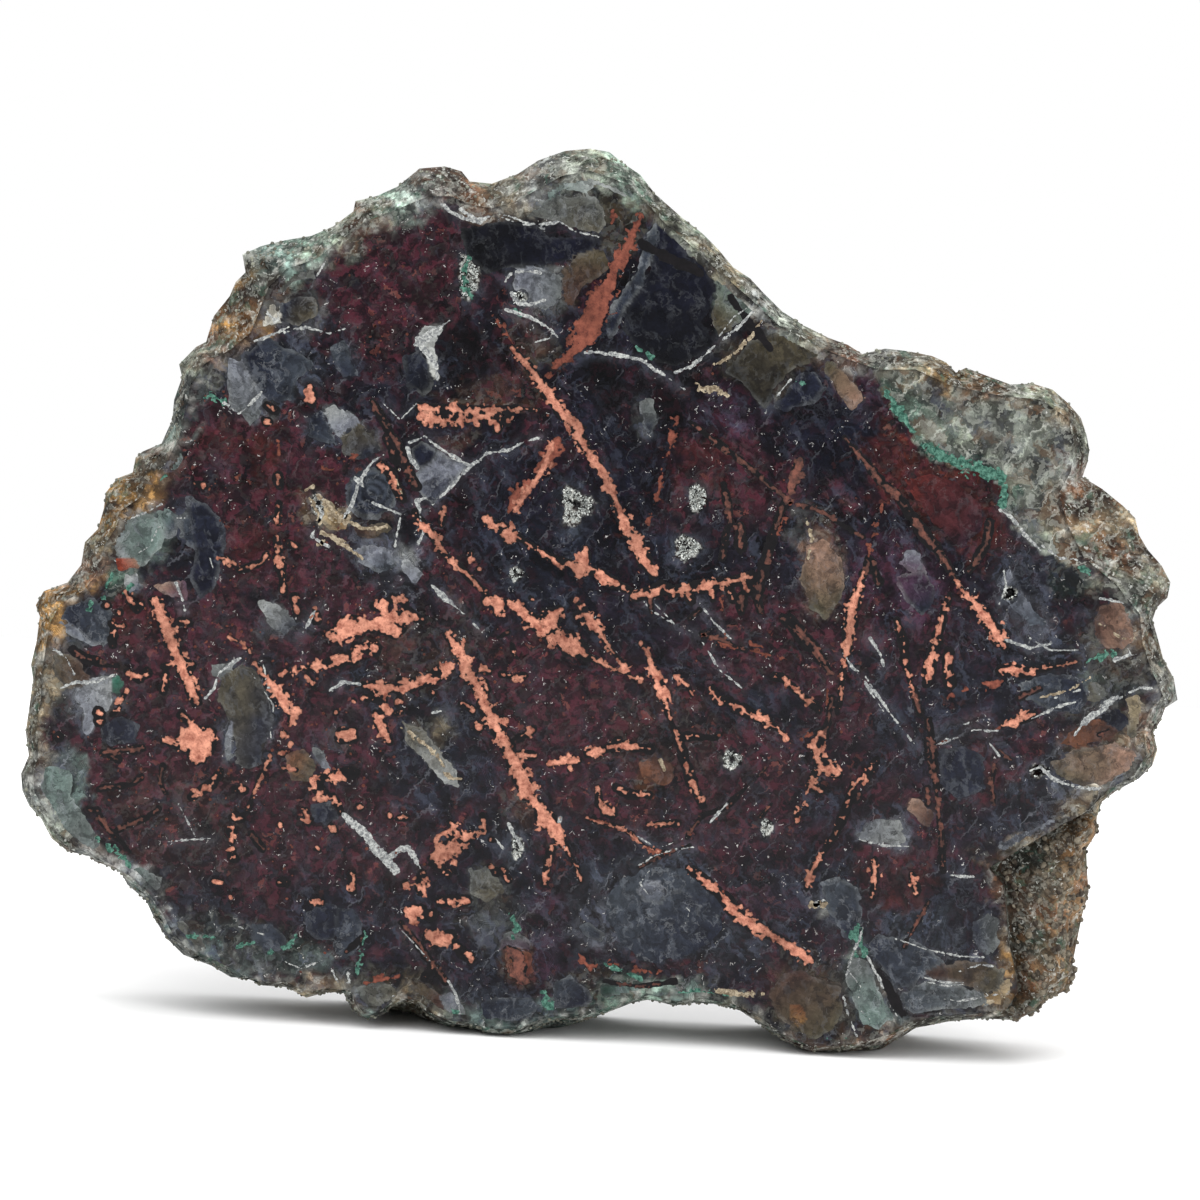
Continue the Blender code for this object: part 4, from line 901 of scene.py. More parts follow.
@dataclass(frozen=True)
class AgateFinish:
    """Copper agate: chalcedony and quartz, polished with diamond, sawn, or broken and weathered."""

    name: str
    roughness: float
    open_grain: float
    relief_mm: float
    saw_mm: float = 0.0
    specular: float = 0.12
    layers: tuple[Layer, ...] = GROUND_LAYERS + GRAIN_LAYERS
    flat: bool = True
    gains: tuple[Place, ...] = ((3.8, 0.28, 1.90), (0.8, 0.66, 1.40))
    pushes: tuple[Point, ...] = ((0.45, 2.2), (2.4, 0.9))
    wave_length: float = 0.314
    sway_mm: float = 2.4
    open_roughness: float = 0.78

    @property
    def dimensions(self) -> str:
        """Whether the patterns are read on the flat of the face or in the round."""
        return "2D" if self.flat else "3D"

    def make(self) -> bpy.types.Material:
        """Builds the finish.

        Returns:
            The material.
        """
        material = bpy.data.materials.new(self.name)
        material.use_nodes = True
        add = partial(add_node, material.node_tree)
        noise_2d = partial(add, "TexNoise", noise_dimensions=self.dimensions)
        upright = {"Rotation": (math.pi / 2, 0.0, 0.0), "Scale": (1 / MILLIMETRE,) * 3}
        in_mm = add("Mapping", {"Vector": add("TexCoord").outputs["Object"], **upright})
        pushed = in_mm
        for scale, push in self.pushes:
            drift = noise_2d({"Vector": in_mm, "Scale": scale, "Detail": 2.0}).outputs["Color"]
            pushed = add("VectorMath", {0: drift, 1: (push,) * 3, 2: pushed}, operation="MULTIPLY_ADD")
        habits = add("Attribute", attribute_name="habit").outputs["Color"]
        habits = add("SeparateColor", {"Color": habits}).outputs
        coarse = add("Math", {0: habits["Blue"], 1: self.open_grain}, operation="ADD", use_clamp=True)
        masks = {Habit.DUST: habits["Red"], Habit.WISPS: habits["Green"], Habit.COARSE: coarse}
        colour = add("Attribute", attribute_name="tint").outputs["Color"]
        for size, low, high in self.gains:
            swell = noise_2d({"Vector": pushed, "Scale": 1 / size, "Detail": 3.0, "Roughness": 0.62})
            gain = add("MapRange", {0: swell, 1: 0.3, 2: 0.7, 3: low, 4: high})
            colour = add("VectorMath", {0: colour, "Scale": gain}, operation="SCALE")
        for number, layer in enumerate(self.layers):
            colour = self._laid(add, layer, number, pushed, masks, colour)
        height, strength = self._relief(add, in_mm, coarse)
        dress(
            add, material.node_tree.nodes["Principled BSDF"], height, (strength, self.relief_mm * MILLIMETRE),
            Base_Color=colour, IOR=QUARTZ_IOR, Specular_IOR_Level=self.specular,
            Roughness=add("MapRange", {0: coarse, 3: self.roughness, 4: self.open_roughness}),
        )
        return material

    def _laid(
        self, add: partial, layer: Layer, number: int, place: bpy.types.Node,
        masks: dict[Habit, Socket | bpy.types.Node], under: Socket | bpy.types.Node,
    ) -> Socket:
        """Lays one layer over what is there.

        Args:
            add: What adds nodes to the material.
            layer: The layer.
            number: Its number, which shifts its pattern.
            place: The pattern's coordinates, in millimetres.
            masks: What holds each habit of the ground.
            under: The colour so far.

        Returns:
            The colour with the layer on it.
        """
        turned = add("Mapping", {
            "Vector": place, "Location": (number * 17.3, number * 5.1, number * 11.9),
            "Rotation": (0.0, 0.0, math.radians(layer.turn)), "Scale": layer.stretch,
        }, vector_type="TEXTURE")
        kind, settings, output = layer.pattern.value
        inputs = {"Vector": turned, "Scale": 1 / layer.size_mm}
        if layer.pattern is Pattern.BANDS:
            inputs |= {"Scale": self.wave_length / layer.size_mm, "Distortion": 3.0, "Detail": 1.0}
        elif kind == "TexNoise":
            settings = settings | {"noise_dimensions": self.dimensions}
            inputs |= {"Detail": 3.0, "Roughness": 0.6}
        else:
            settings = settings | {"voronoi_dimensions": self.dimensions}
        value = add(kind, inputs, **settings).outputs[output]
        if layer.pattern is Pattern.GROWTH:
            grown = add("Attribute", attribute_name="growth").outputs["Fac"]
            value = add("Math", {0: value, 1: self.sway_mm, 2: grown}, operation="MULTIPLY_ADD")
            value = add("Math", {0: value, 1: layer.size_mm / 2}, operation="PINGPONG")
        if layer.pattern is Pattern.CELLS:
            value = add("SeparateColor", {"Color": value})
        share = add("MapRange", {0: value, 1: layer.low, 2: layer.high, 3: 0.0, 4: layer.share})
        if layer.habit is not Habit.NONE:
            share = add("Math", {0: share, 1: masks[layer.habit]}, operation="MULTIPLY")
        if layer.patches_mm:
            where = add(
                "TexNoise", {"Vector": turned, "Scale": 1 / layer.patches_mm, "Detail": 1.0},
                noise_dimensions=self.dimensions,
            )
            here = add("MapRange", {0: where, 1: 0.48, 2: 0.62})
            share = add("Math", {0: share, 1: here}, operation="MULTIPLY")
        return add("Mix", {0: share, 6: under, 7: linear(layer.code)}, data_type="RGBA").outputs[2]

    def _relief(
        self, add: partial, straight: bpy.types.Node, coarse: bpy.types.Node
    ) -> tuple[bpy.types.Node, bpy.types.Node | float]:
        """Makes the grain that is felt on the surface.

        Args:
            add: What adds nodes to the material.
            straight: Plain coordinates, in millimetres.
            coarse: How open the grain is.

        Returns:
            The relief's height and its strength.
        """
        grains = add("TexVoronoi", {"Vector": straight, "Scale": 1 / 0.5}, voronoi_dimensions=self.dimensions)
        pores = add(
            "TexNoise", {"Vector": straight, "Scale": 1 / 0.35, "Detail": 3.0, "Roughness": 0.7},
            noise_dimensions=self.dimensions,
        )
        height = add("Math", {0: grains.outputs["Distance"], 1: 0.6, 2: pores}, operation="MULTIPLY_ADD")
        if not self.saw_mm:
            return height, add("MapRange", {0: coarse, 3: 0.03, 4: 1.0})
        marks = add(
            "TexWave", {"Vector": straight, "Scale": 0.35, "Distortion": 1.2, "Detail": 3.0},
            wave_type="RINGS", rings_direction="Z",
        ).outputs["Fac"]
        share = self.saw_mm / self.relief_mm
        return add("Math", {0: marks, 1: share, 2: height}, operation="MULTIPLY_ADD"), 0.8


# Polished on diamond laps to a wet gloss; the open rind in it stays matt.
POLISHED_AGATE = AgateFinish("diamond-polished copper agate", roughness=0.16, open_grain=0.0, relief_mm=0.10)
# Broken and weathered quartz: matt, sugary, full of small shadows.
QUARTZ_RIND = AgateFinish(
    "weathered quartz rind", roughness=0.62, open_grain=0.75, relief_mm=0.30, flat=False,
    layers=GROUND_LAYERS[:1] + GRAIN_LAYERS + GRAIN_BLOOM_AND_PAINTED_LIGHT,
)
# Cut with a diamond saw: flat, a little chalky, with the faint arcs of the blade.
SAWN_AGATE = AgateFinish("saw-cut copper agate", roughness=0.5, open_grain=0.1, relief_mm=0.05, saw_mm=0.02)
# Older, banded chalcedony set in the ground and polished with it: glassy, with fine pale fibres.
BANDED_CHALCEDONY = AgateFinish(
    "diamond-polished banded chalcedony", roughness=0.14, open_grain=0.0, relief_mm=0.05,
    layers=FRAGMENT_LAYERS, gains=((1.7, 0.66, 1.42), (0.5, 0.80, 1.25)),
)
# Crushed grain in the hollow: no polish at all.
CRUMBLED_AGATE = AgateFinish(
    "crumbled agate of the hollow", roughness=0.8, open_grain=1.0, relief_mm=0.35, flat=False,
    layers=GRAIN_LAYERS + GRAIN_BLOOM_AND_PAINTED_LIGHT,
)


@dataclass(frozen=True)
class CopperFinish:
    """Native copper cut flush with the stone: soft metal that smears a little under the polish."""

    name: str
    light: str
    dark: str
    metallic: float = 0.72
    roughness: float = 0.42
    pitted: str = "#2A1512"

    def make(self) -> bpy.types.Material:
        """Builds the finish.

        Returns:
            The material.
        """
        material, add, shader, in_mm = new_material(self.name)
        bloom = add("TexNoise", {"Vector": in_mm, "Scale": 1 / 1.1, "Detail": 8.0, "Roughness": 0.74})
        share = add("MapRange", {0: bloom, 1: 0.41, 2: 0.63})
        ends = {6: linear(self.light), 7: linear(self.dark)}
        colour = add("Mix", {0: share, **ends}, data_type="RGBA").outputs[2]
        pits = add("TexVoronoi", {"Vector": in_mm, "Scale": 1 / 0.55}).outputs["Distance"]
        share = add("MapRange", {0: pits, 1: 0.16, 2: 0.08, 3: 0.0, 4: 0.7})
        colour = add("Mix", {0: share, 6: colour, 7: linear(self.pitted)}, data_type="RGBA").outputs[2]
        patina = add("TexNoise", {"Vector": in_mm, "Scale": 1 / 4.5, "Detail": 2.0})
        aged = add("MapRange", {0: patina, 1: 0.38, 2: 0.66, 3: 1.08, 4: 0.62})
        core = add("Attribute", attribute_name="core").outputs["Fac"]
        rim = add("MapRange", {0: core, 1: 0.0, 2: 0.8, 3: 0.50, 4: 1.06})
        both = add("Math", {0: aged, 1: rim}, operation="MULTIPLY")
        scratches = add("TexNoise", {"Vector": in_mm, "Scale": 1 / 0.22, "Detail": 4.0, "Roughness": 0.7})
        dress(
            add, shader, scratches, (0.35, 0.04 * MILLIMETRE),
            Metallic=self.metallic, Roughness=self.roughness,
            Base_Color=add("VectorMath", {0: colour, "Scale": both}, operation="SCALE"),
        )
        return material


# Bright where the lap has just cut it.
BRIGHT_COPPER = CopperFinish("native copper, lapped", "#D09179", "#824A3C")
# Smeared and dulled by the saw.
SAWN_COPPER = CopperFinish("native copper, saw-cut", "#A8705A", "#6A3E32", roughness=0.55)
# A red bloom of cuprite over the metal.
RED_COPPER = CopperFinish("native copper with a cuprite bloom", "#8E5242", "#5A2F27")
# Brown where the air has reached it.
TARNISHED_COPPER = CopperFinish("native copper, tarnished", "#6E4236", "#2C1B19", metallic=0.5, roughness=0.5)


@dataclass(frozen=True)
class VeinFinish:
    """Vein filling: quartz or chalcedony grown in a crack, finely sugary and cut flush."""

    name: str
    light: str
    dark: str
    grain_mm: float = 0.3
    roughness: float = 0.35
    specular: float = 0.15

    def make(self) -> bpy.types.Material:
        """Builds the finish.

        Returns:
            The material.
        """
        material, add, shader, in_mm = new_material(self.name)
        grains = add(
            "TexNoise", {"Vector": in_mm, "Scale": 1 / self.grain_mm, "Detail": 5.0, "Roughness": 0.7}
        )
        share = add("MapRange", {0: grains, 1: 0.34, 2: 0.58})
        ends = {6: linear(self.light), 7: linear(self.dark)}
        colour = add("Mix", {0: share, **ends}, data_type="RGBA").outputs[2]
        dress(
            add, shader, grains, (0.4, 0.05 * MILLIMETRE), Base_Color=colour, Roughness=self.roughness,
            IOR=QUARTZ_IOR, Specular_IOR_Level=self.specular,
        )
        return material


# Milky quartz: bright white with grey, glassy grains.
MILKY_QUARTZ = VeinFinish("milky quartz vein", "#B4B6B2", "#5C5E60")
# Iron-stained chalcedony: warm and waxy.
CREAM_CHALCEDONY = VeinFinish("iron-stained chalcedony", "#A89C86", "#5C5040", grain_mm=0.4)
# Chrysocolla and malachite in quartz: cool green, a little chalky.
GREEN_CHRYSOCOLLA = VeinFinish("chrysocolla in quartz", "#5A8474", "#183A31", grain_mm=0.5)
# Tenorite and black chalcedony against the metal: a dark, glossy line.
BLACK_SELVAGE = VeinFinish("black selvage beside the copper", "#100D10", "#060507", grain_mm=0.8)
# Clear points in the pits: small, sharp and bright.
QUARTZ_POINTS = VeinFinish("drusy quartz points", "#DADCD6", "#8E9391", grain_mm=0.4, roughness=0.15)
# Loose grain stuck in the broken places: dull, pale to rusty.
LOOSE_GRAIN = VeinFinish("quartz grit in broken agate", "#857D6D", "#332C26", grain_mm=2.0, roughness=0.7)
# Grit that weathering has left on the rim: dull grey-green.
EDGE_GRIT = VeinFinish("quartz grit of the rim", "#8A8B7E", "#504F46", grain_mm=2.2, roughness=0.7)


@dataclass(frozen=True)
class PaperFinish:
    """White backdrop paper: matt, with a barely visible tooth."""

    name: str = "matt white backdrop paper"
    light: str = "#F4F4F4"
    tooth_mm: float = 1.2

    def make(self) -> bpy.types.Material:
        """Builds the finish.

        Returns:
            The material.
        """
        material, add, shader, in_mm = new_material(self.name)
        tooth = add("TexNoise", {"Vector": in_mm, "Scale": 1 / self.tooth_mm, "Detail": 3.0})
        dress(
            add, shader, tooth, (0.1, 0.05 * MILLIMETRE), Base_Color=linear(self.light), Roughness=0.95,
            Specular_IOR_Level=0.1,
        )
        return material


# ---------------------------------------------------------------- meshes


def mesh_piece(
    name: str, points: Array, faces: Array | list, materials: list[bpy.types.Material]
) -> bpy.types.Object:
    """Makes a mesh object at the origin.

    Args:
        name: The piece's name.
        points: Its corners, in metres.
        faces: Its faces, as numbers of corners.
        materials: Its materials, in slot order.

    Returns:
        The object, linked to the scene.
    """
    mesh = bpy.data.meshes.new(name)
    mesh.from_pydata(np.asarray(points, float).tolist(), [], [list(map(int, face)) for face in faces])
    for material in materials:
        mesh.materials.append(material)
    mesh.update()
    piece = bpy.data.objects.new(name, mesh)
    bpy.context.scene.collection.objects.link(piece)
    return piece


def noise_at(points: Array, size: float, shift: float = 0.0) -> Array:
    """Gradient noise at points of space, from about -1 to 1."""
    moved = (points + np.array([shift, shift * 2.3, shift * 1.7])) / size
    return np.array([noise.noise(Vector(point)) for point in moved.reshape(-1, 3)]).reshape(points.shape[:-1])


def tint(mesh: bpy.types.Mesh, name: str, values: Array) -> None:
    """Writes values on the corners of a mesh.

    Args:
        mesh: The mesh.
        name: The attribute's name.
        values: One number a corner, or three, which are written as a colour.
    """
    if values.ndim == 1:
        mesh.attributes.new(name, "FLOAT", "POINT").data.foreach_set("value", values.astype(np.float32))
        return
    full = np.concatenate([np.clip(values, 0, 1), np.ones((len(values), 1))], axis=1)
    colours = mesh.attributes.new(name, "FLOAT_COLOR", "POINT").data
    colours.foreach_set("color", full.astype(np.float32).ravel())


# ---------------------------------------------------------------- what fills the stone


# The corners of each case of marching squares, round its outline. 0 to 3 are the square's own corners
# and 4 to 7 the crossings on its sides.
SQUARE_CASES: dict[int, tuple[int, ...]] = {
    1: (0, 4, 7), 2: (1, 5, 4), 3: (0, 1, 5, 7), 4: (2, 6, 5), 5: (0, 4, 5, 2, 6, 7), 6: (1, 2, 6, 4),
    7: (0, 1, 2, 6, 7), 8: (3, 7, 6), 9: (0, 4, 6, 3), 10: (1, 5, 6, 3, 7, 4), 11: (0, 1, 5, 6, 3),
    12: (2, 3, 7, 5), 13: (0, 4, 5, 2, 3), 14: (1, 2, 3, 7, 4), 15: (0, 1, 2, 3),
}


@dataclass
class Blades:
    """Something that fills narrow bodies in the stone and is cut flush with its face.

    It is drawn as strokes. Round them runs a signed distance in squares, roughened into lobes, whose
    zero line is the outline of thin closed plates.
    """

    name: str
    strokes: tuple[Stroke, ...]
    finish: AgateFinish | CopperFinish | VeinFinish
    slot: str
    seed: int = 11
    top: float = 0.0
    bottom: float = 0.00030
    grow: float = 0.0
    wander: float = 0.0
    lobes: float = 1.0
    gaps: float = 1.0
    crumb: float = 3.4
    pinch: float = 1.0
    block_spacing: float = 0.0
    notched: Point = (2.0, 4.2)
    edge: float = 2.2
    border: float = 7.0
    step: float = 1.2
    behind: bool = False

    def grid(self) -> tuple[Array, Array, Array]:
        """The grid's lines, and the places across and down of its points."""
        lines = np.arange(0, SHEET_SQUARES + self.step, self.step)
        return lines, *np.meshgrid(lines, lines)

    def near(self, lines: Array, low: Array, high: Array) -> tuple[slice, slice]:
        """The part of the grid between two corners, as its rows and its columns."""
        return tuple(slice(*np.searchsorted(lines, (low[axis], high[axis]))) for axis in (1, 0))

    def nearest(self, grid: Array, squares: Array) -> tuple[Array, Array]:
        """The row and the column of the grid's point nearest to each place on the sheet."""
        return tuple(
            np.clip(np.rint(squares[:, axis] / self.step), 0, len(grid) - 1).astype(int) for axis in (1, 0)
        )

    def field(self) -> tuple[Array, Array, Array, Array]:
        """Works out the signed distance to the strokes.

        Returns:
            Across and down places of the grid, the distance, and the nearest stroke's half width.
        """
        lines, across, down = self.grid()
        distance, half = np.full(across.shape, FAR), np.ones(across.shape)
        for stroke in self.strokes:
            ends = np.array(stroke if len(stroke) > 1 else stroke * 2)
            for start, end in zip(ends, ends[1:]):
                reach = max(start[2], end[2]) / 2 + 16
                here = self.near(lines, np.minimum(start, end) - reach, np.maximum(start, end) + reach)
                x, y = across[here] - start[0], down[here] - start[1]
                run, rise, widening = end - start
                along = np.clip((x * run + y * rise) / max(run ** 2 + rise ** 2, 1e-6), 0, 1)
                width = (start[2] + widening * along) / 2
                away = np.hypot(x - along * run, y - along * rise) - width
                closer = away < distance[here]
                distance[here] = np.where(closer, away, distance[here])
                half[here] = np.where(closer, width, half[here])
        return across, down, distance, half

    def block(self, distance: Array) -> None:
        """Sets small square crystals along the strokes' sides, and notches between them.

        Args:
            distance: The signed distance on the grid, which is changed.
        """
        dice = np.random.default_rng(self.seed)
        for stroke in self.strokes:
            for (x0, y0, w0), (x1, y1, w1) in zip(stroke, stroke[1:]):
                length, along = math.dist((x0, y0), (x1, y1)), math.atan2(y1 - y0, x1 - x0)
                for spot in np.arange(dice.uniform(0, self.block_spacing), length, self.block_spacing):
                    half = (w0 + (w1 - w0) * spot / length) / 2
                    side, reach, turn = dice.choice((-1, 1)), dice.uniform(0.8, 1.3), dice.normal(0, 0.25)
                    long, wide = dice.uniform(0.9, 2.3, 2) * (0.74 + 0.20 * min(half, 8.0))
                    solid = dice.random() < 0.60 or not self.notched[0] < half < self.notched[1]
                    x = x0 + math.cos(along) * spot - math.sin(along) * side * half * reach
                    y = y0 + math.sin(along) * spot + math.cos(along) * side * half * reach
                    turn += along + dice.choice((0.0, math.pi / 4))
                    near = 1.6 * (long + wide) + 2
                    row, column = (
                        slice(max(0, int((middle - near) / self.step)), int((middle + near) / self.step) + 2)
                        for middle in (y, x)
                    )
                    patch = distance[row, column]
                    down, across = np.indices(patch.shape)
                    across = (across + column.start) * self.step - x
                    down = (down + row.start) * self.step - y
                    u = np.abs(across * math.cos(turn) + down * math.sin(turn)) - long
                    v = np.abs(down * math.cos(turn) - across * math.sin(turn)) - wide
                    body = np.maximum(u, v)
                    distance[row, column] = np.minimum(patch, body) if solid else np.maximum(patch, -body)

    def away(self, squares: Array) -> Array:
        """How far points of the sheet lie from the strokes, in squares."""
        distance = self.field()[2]
        return distance[self.nearest(distance, squares)]

    def roughened(self) -> tuple[Array, Array, Array]:
        """Gives the outlines their lobes, gaps and growth.

        Returns:
            Across and down places of the grid, and the signed distance.
        """
        across, down, distance, half = self.field()
        if self.block_spacing:
            self.block(distance)
        first, second, third, fourth, fifth = (Grain(self.seed + shift) for shift in (0, 2, 3, 4, 5))
        size = np.clip(0.22 * half + 0.70, 0.6, 2.4) * self.lobes
        lobes = 0.65 * first.cells(across, down, self.crumb)
        lobes = lobes + 0.60 * second.cells(across, down, self.crumb * 2.2)
        broken = smooth_step(0.42, 0.66, third.smooth(across, down, 13.0)) * smooth_step(4.5, 1.8, half)
        wander = 0.8 * fourth.smooth(across, down, 55.0) + 0.5 * fifth.smooth(across, down, 9.0)
        shrink = size * lobes + self.pinch * (0.16 * half + 0.2) + self.gaps * broken * 3.2
        return across, down, distance + shrink - (self.grow + self.wander * wander)

    def plates(self) -> tuple[Array, list[tuple[int, ...]], Array]:
        """Turns the distance into closed plates by marching squares.

        Returns:
            The corners in metres, the faces, and how far inside the outline each corner lies, from 0 to 1.
        """
        across, down, distance = self.roughened()
        columns, count = across.shape[1], across.size
        within = distance < 0
        shape = within[:-1, :-1] * 1 + within[:-1, 1:] * 2 + within[1:, 1:] * 4 + within[1:, :-1] * 8
        rows_used, columns_used = np.nonzero(shape)
        cases = shape[rows_used, columns_used]
        corner = rows_used * columns + columns_used
        numbers = np.stack([
            corner, corner + 1, corner + columns + 1, corner + columns,
            count + corner, 2 * count + corner + 1, count + corner + columns, 2 * count + corner,
        ], axis=-1)
        top = np.concatenate([
            numbers[cases == case][:, [outline[0], outline[turn], outline[turn + 1]]]
            for case, outline in SQUARE_CASES.items() for turn in range(1, len(outline) - 1)
        ])
        used, top_index = np.unique(top, return_inverse=True)
        top_index = top_index.reshape(top.shape)
        flat_x, flat_y, flat_d = across.ravel(), down.ravel(), distance.ravel()
        kind, node = used // count, used % count
        other = np.where(kind == 1, node + 1, np.where(kind == 2, node + columns, node))
        share = flat_d[node] / np.where(kind == 0, 1.0, flat_d[node] - flat_d[other])
        share = np.where(kind == 0, 0.0, np.clip(share, 0.06, 0.94))
        squares = np.stack([toward(flat[node], flat[other], share) for flat in (flat_x, flat_y)], axis=-1)
        turn, reach = SHEET.polar(squares)
        kept = reach < SHEET.reach(SAWN if self.behind else POLISHED, turn) - self.border
        core = np.where(kind == 0, np.clip(-flat_d[node] / self.edge, 0, 1), 0.0)
        return *self.solid(squares, top_index[kept[top_index].all(axis=1)]), np.tile(core, 2)

    def solid(self, squares: Array, top: Array) -> tuple[Array, list[tuple[int, ...]]]:
        """Gives flat triangles a thickness.

        Args:
            squares: Corners on the sheet.
            top: Triangles between them, turned as the sheet's x and y are.

        Returns:
            The corners in metres and the faces, facing outwards.
        """
        count = len(squares)
        edges = np.concatenate([top[:, [0, 1]], top[:, [1, 2]], top[:, [2, 0]]]).astype(np.int64)
        border = edges[~np.isin(edges[:, 0] * count + edges[:, 1], edges[:, 1] * count + edges[:, 0])]
        depths, way = (self.top, self.bottom), -1
        if self.behind:
            depths, way = (SHEET.thickness - self.top, SHEET.thickness - self.bottom), 1
        faces = [*map(tuple, top[:, ::way]), *map(tuple, top[:, ::-way] + count)]
        faces += [(a, b, b + count, a + count)[::-way] for a, b in border]
        return np.concatenate([SHEET.place(squares, depth) for depth in depths]), faces

    def build(self) -> bpy.types.Object:
        """Builds the plates as one piece.

        Returns:
            The piece.
        """
        points, faces, core = self.plates()
        piece = mesh_piece(self.name, points, faces, [self.finish.make()])
        tint(piece.data, "core", core)
        return piece


@dataclass
class Fragments(Blades):
    """Broken pieces of older agate: flat plates whose tints follow their bands."""

    depth_share: float = 0.55
    band: float = 7.0
    around: float = 12.0

    def field(self) -> tuple[Array, Array, Array, Array]:
        """Works out the signed distance to the outlines.

        Returns:
            Across and down places of the grid, the distance, and an even half width.
        """
        across, down, distance, _ = self.owners()
        return across, down, distance, np.full(distance.shape, 4.0)

    def owners(self) -> tuple[Array, Array, Array, Array]:
        """Works out which fragment is nearest.

        Returns:
            Across and down places of the grid, the distance, and the fragment's number.
        """
        lines, across, down = self.grid()
        distance, owner = np.full(across.shape, FAR), np.zeros(across.shape, int)
        for number, (_, _, _, _, _, *outline) in enumerate(FRAGMENTS):
            corners = np.array(outline, float)
            near = self.near(lines, corners.min(axis=0) - self.around, corners.max(axis=0) + self.around)
            here = np.stack([across[near], down[near]], axis=-1)
            away = np.full(here.shape[:2], FAR)
            for start, end in zip(corners, np.roll(corners, -1, axis=0)):
                run, offset = end - start, here - start
                share = np.clip((offset @ run) / (run @ run), 0, 1)
                away = np.minimum(away, np.hypot(*np.moveaxis(offset - share[..., None] * run, -1, 0)))
            within = inside(outline, here.reshape(-1, 2)).reshape(away.shape) > 0
            away = np.where(within, -away, away)
            within = away < 0
            owner[near] = np.where(within | (away < distance[near]), number, owner[near])
            distance[near] = np.where(within, away, np.minimum(away, distance[near]))
        for pit in PITS:
            clear = pit.radius * 1.15 / SHEET.square_across
            distance = np.maximum(distance, clear - np.hypot(across - pit.centre[0], down - pit.centre[1]))
        return across, down, distance, owner

    def tints(self, squares: Array) -> tuple[Array, Array]:
        """What the fragments look like at points of the sheet.

        Args:
            squares: The points.

        Returns:
            Linear colours, and how wispy each point is.
        """
        _, _, distance, owner = self.owners()
        here = self.nearest(distance, squares)
        depth, number = distance[here], owner[here]
        x, y = squares.T
        colour = np.zeros((len(squares), 3))
        rims, bands, wisps = np.zeros((3, len(squares)))
        for index, (near, far, turn, rim, band, *outline) in enumerate(FRAGMENTS):
            mine = number == index
            way = np.array([math.cos(math.radians(turn)), math.sin(math.radians(turn))])
            run = np.array(outline) @ way
            share = (squares[mine] @ way - run.min()) / (run.max() - run.min())
            share = np.clip(share + 0.22 * Grain(91).smooth(x[mine], y[mine], 14), 0, 1)[:, None]
            colour[mine] = near.colour * (1 - share) + far.colour * share
            rims[mine], bands[mine], wisps[mine] = rim, band, (near.habits[1] + far.habits[1]) / 2
        wave = np.sin(2 * math.pi * (depth + 2.2 * Grain(92).smooth(x, y, 16)) / self.band)
        colour = self.depth_share * colour * (1 + bands * wave)[:, None]
        patchy = 0.5 + 0.5 * Grain(93).smooth(x, y, 12)
        rim = (rims * patchy * smooth_step(-4.5, -1.0, depth))[:, None]
        return toward(colour, Tone.SILVER.colour * 0.6, rim), wisps

    def build(self) -> bpy.types.Object:
        """Builds the fragments as one piece.

        Returns:
            The piece.
        """
        points, faces, _ = self.plates()
        piece = mesh_piece(self.name, points, faces, [self.finish.make()])
        colours, wisps = self.tints(SHEET.lifted(points))
        tint(piece.data, "tint", colours)
        tint(piece.data, "habit", wisps[:, None] * np.array((0.0, 1.0, 0.0)))
        return piece


# ---------------------------------------------------------------- the stone


@dataclass(frozen=True)
class Pit:
    """A crystal-lined pit in the polish: centre on the sheet, radius and depth in metres, and its form."""

    centre: Point
    radius: float
    depth: float
    tall: float = 1.0
    # The share of the middle that is painted near black: painted shade where the pit is deep and bare.
    core: float = 0.35
    corners: float = 0.10


PITS: tuple[Pit, ...] = (
    Pit((576, 508), 0.0021, 0.0016, 1.15, 0.26, 0.20),
    Pit((687, 550), 0.0017, 0.0012, 1.0, 0.0),
    Pit((697, 500), 0.0012, 0.0010, 1.6, 0.0),
    Pit((732, 762), 0.0013, 0.0009, 1.0, 0.3),
    Pit((516, 576), 0.0009, 0.0008, 1.1, 0.5),
    Pit((520, 301), 0.0009, 0.0008, 1.0, 0.5),
    Pit((469, 280), 0.0014, 0.0008, 2.1, 0.0),
    Pit((1010, 595), 0.0009, 0.0010, 1.1, 0.7),
    Pit((1040, 773), 0.0012, 0.0012, 0.8, 0.8),
    Pit((517, 850), 0.0008, 0.0007, 2.0, 0.3),
    Pit((767, 830), 0.0008, 0.0007, 1.5, 0.2),
    Pit((318, 506), 0.0009, 0.0008, 1.6, 0.3),
)


class Side(Enum):
    """The material slots of the stone."""

    POLISHED = 0
    RIND = 1
    SAWN = 2
    HOLLOW = 3


@dataclass(frozen=True)
class Skin:
    """The stone's points: first the rings of the loft, then what fills the face, then the back."""

    angles: Array
    levels: int
    squares: Array
    points: Array
    face: int

    @property
    def loft(self) -> slice:
        """The points of the loft."""
        return slice(0, len(self.angles) * self.levels)

    @property
    def front(self) -> slice:
        """The points that fill the polished face."""
        return slice(self.loft.stop, self.loft.stop + self.face)

    @property
    def back(self) -> slice:
        """The points that fill the sawn back."""
        return slice(self.front.stop, len(self.squares))

    @property
    def level(self) -> Array:
        """The ring that each point of the loft is in."""
        return np.repeat(np.arange(self.levels), len(self.angles))


